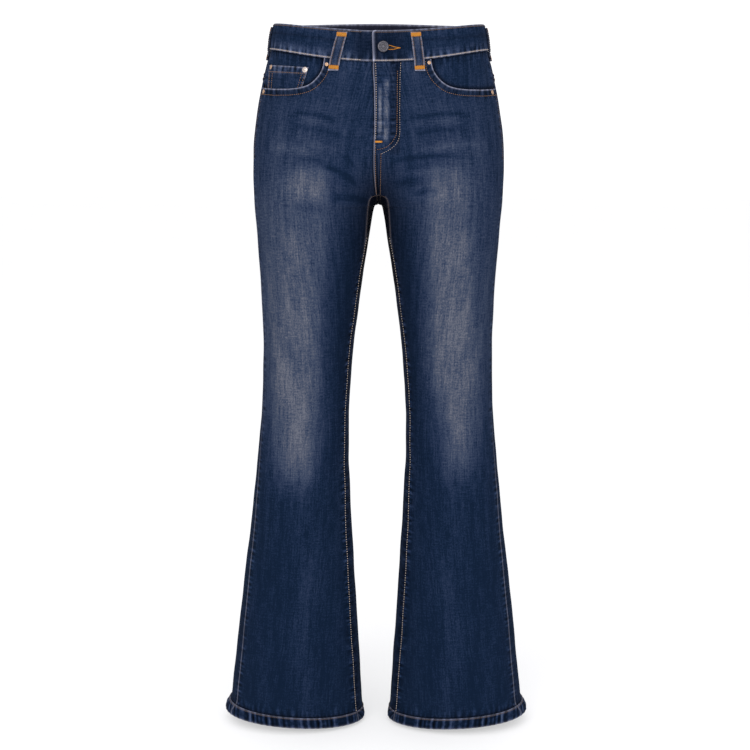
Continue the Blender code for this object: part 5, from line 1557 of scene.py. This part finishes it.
# The floor serves the pictures alone.
floorMesh = bpy.data.meshes.new("floor")
floorMesh.from_pydata([(a * studio["floorHalf"], b * studio["floorHalf"], studio["floorHeight"])
                       for a, b in ((-1, -1), (1, -1), (1, 1), (-1, 1))], [], [(0, 1, 2, 3)])
floorMesh.materials.append(floorMaterial())
floor = bpy.data.objects.new("floor", floorMesh)
bpy.context.scene.collection.objects.link(floor)

# Which solid each piece stands for, and its slot.
otherNodes = {"waistbandStrip": "waistband", "zipTapes": "zip", "shankButton": "button"}
slotNames = (("front", "denim_indigo"), ("backPocket", "denim_indigo"), ("back", "denim_indigo"),
             ("yoke", "denim_indigo"), ("pocketFacing", "denim_dark"), ("coinPocket", "denim_dark"),
             ("fly", "denim_dark"), ("hem", "denim_band"), ("waistband", "denim_band"), ("beltLoop", "denim_band"),
             ("zipTapes", "zip_tape"), ("rivet", "rivet_copper"), ("shankButton", "button_pewter"))
standsFor = {}
for name in pieces:
    snake = "".join("_" + letter.lower() if letter.isupper() else letter for letter in name)
    for start, slotName in slotNames:
        if name.startswith(start):
            standsFor[name] = (otherNodes.get(name, snake), slotName)
for name, item in pieces.items():
    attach(item, "root")
    if name in standsFor:
        node, slotName = standsFor[name]
        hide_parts(node)


def skinArea(item):
    mesh = item.data
    areas = np.zeros(len(mesh.polygons))
    mesh.polygons.foreach_get("area", areas)
    return float(areas.sum()) / 2


# flat cut of each sheet: width, length, area in square metres, how it is held, what it hangs from
cuts = {}
for name, wide, tall, left, right, held, restsOn in (
        ("front", 0.273, 1.049, 0.1806, 0.1776, "hung", ["waistbandStrip"]),
        ("back", 0.345, 1.000, 0.2744, 0.2744, "hung", ["yoke"]),
        ("yoke", 0.232, 0.078, 0.0147, 0.0147, "stretched", ["waistbandStrip"]),
        ("pocketFacing", 0.125, 0.080, 0.0081, 0.0078, "stretched", ["waistbandStrip"]),
        ("backPocket", 0.132, 0.142, 0.01745, 0.01745, "stretched", ["back"]),
        ("hem", 0.553, 0.020, 0.0109, 0.0109, "folded", ["front", "back"])):
    for word, area in (("Left", left), ("Right", right)):
        cuts[name + word] = (wide, tall, area, held, [way if way == "waistbandStrip" else way + word for way in restsOn])
cuts.update({
    "coinPocket": (0.064, 0.056, 0.0034, "stretched", ["pocketFacingRight"]),
    "waistbandStrip": (0.858, 0.040, 0.0343, "folded", ["yokeLeft", "yokeRight"]),
    "flyFacing": (0.040, 0.130, 0.0047, "stretched", ["frontLeft"]),
    "zipTapes": (0.030, 0.120, 0.0035, "stretched", ["flyFacing"]),
    "flyShield": (0.058, 0.132, 0.0073, "stretched", ["frontRight"]),
})
for name, area in (("FrontRight", 0.00086), ("FrontLeft", 0.00086), ("SideRight", 0.00084), ("SideLeft", 0.00084),
                   ("Back", 0.00083)):
    cuts["beltLoop" + name] = (0.0155, 0.057, area, "stretched", ["waistbandStrip"])
for name, (wide, tall, area, held, restsOn) in cuts.items():
    measured = skinArea(pieces[name])
    print("cloth", name, "flat", wide, tall, "measured", round(measured, 5), "share", round(measured / (wide * tall), 3))

total = sum(len(item.data.polygons) * (1 if name.startswith("sewing") else 2) for name, item in pieces.items())
print("stage: pieces", len(pieces), "about", total, "triangles")
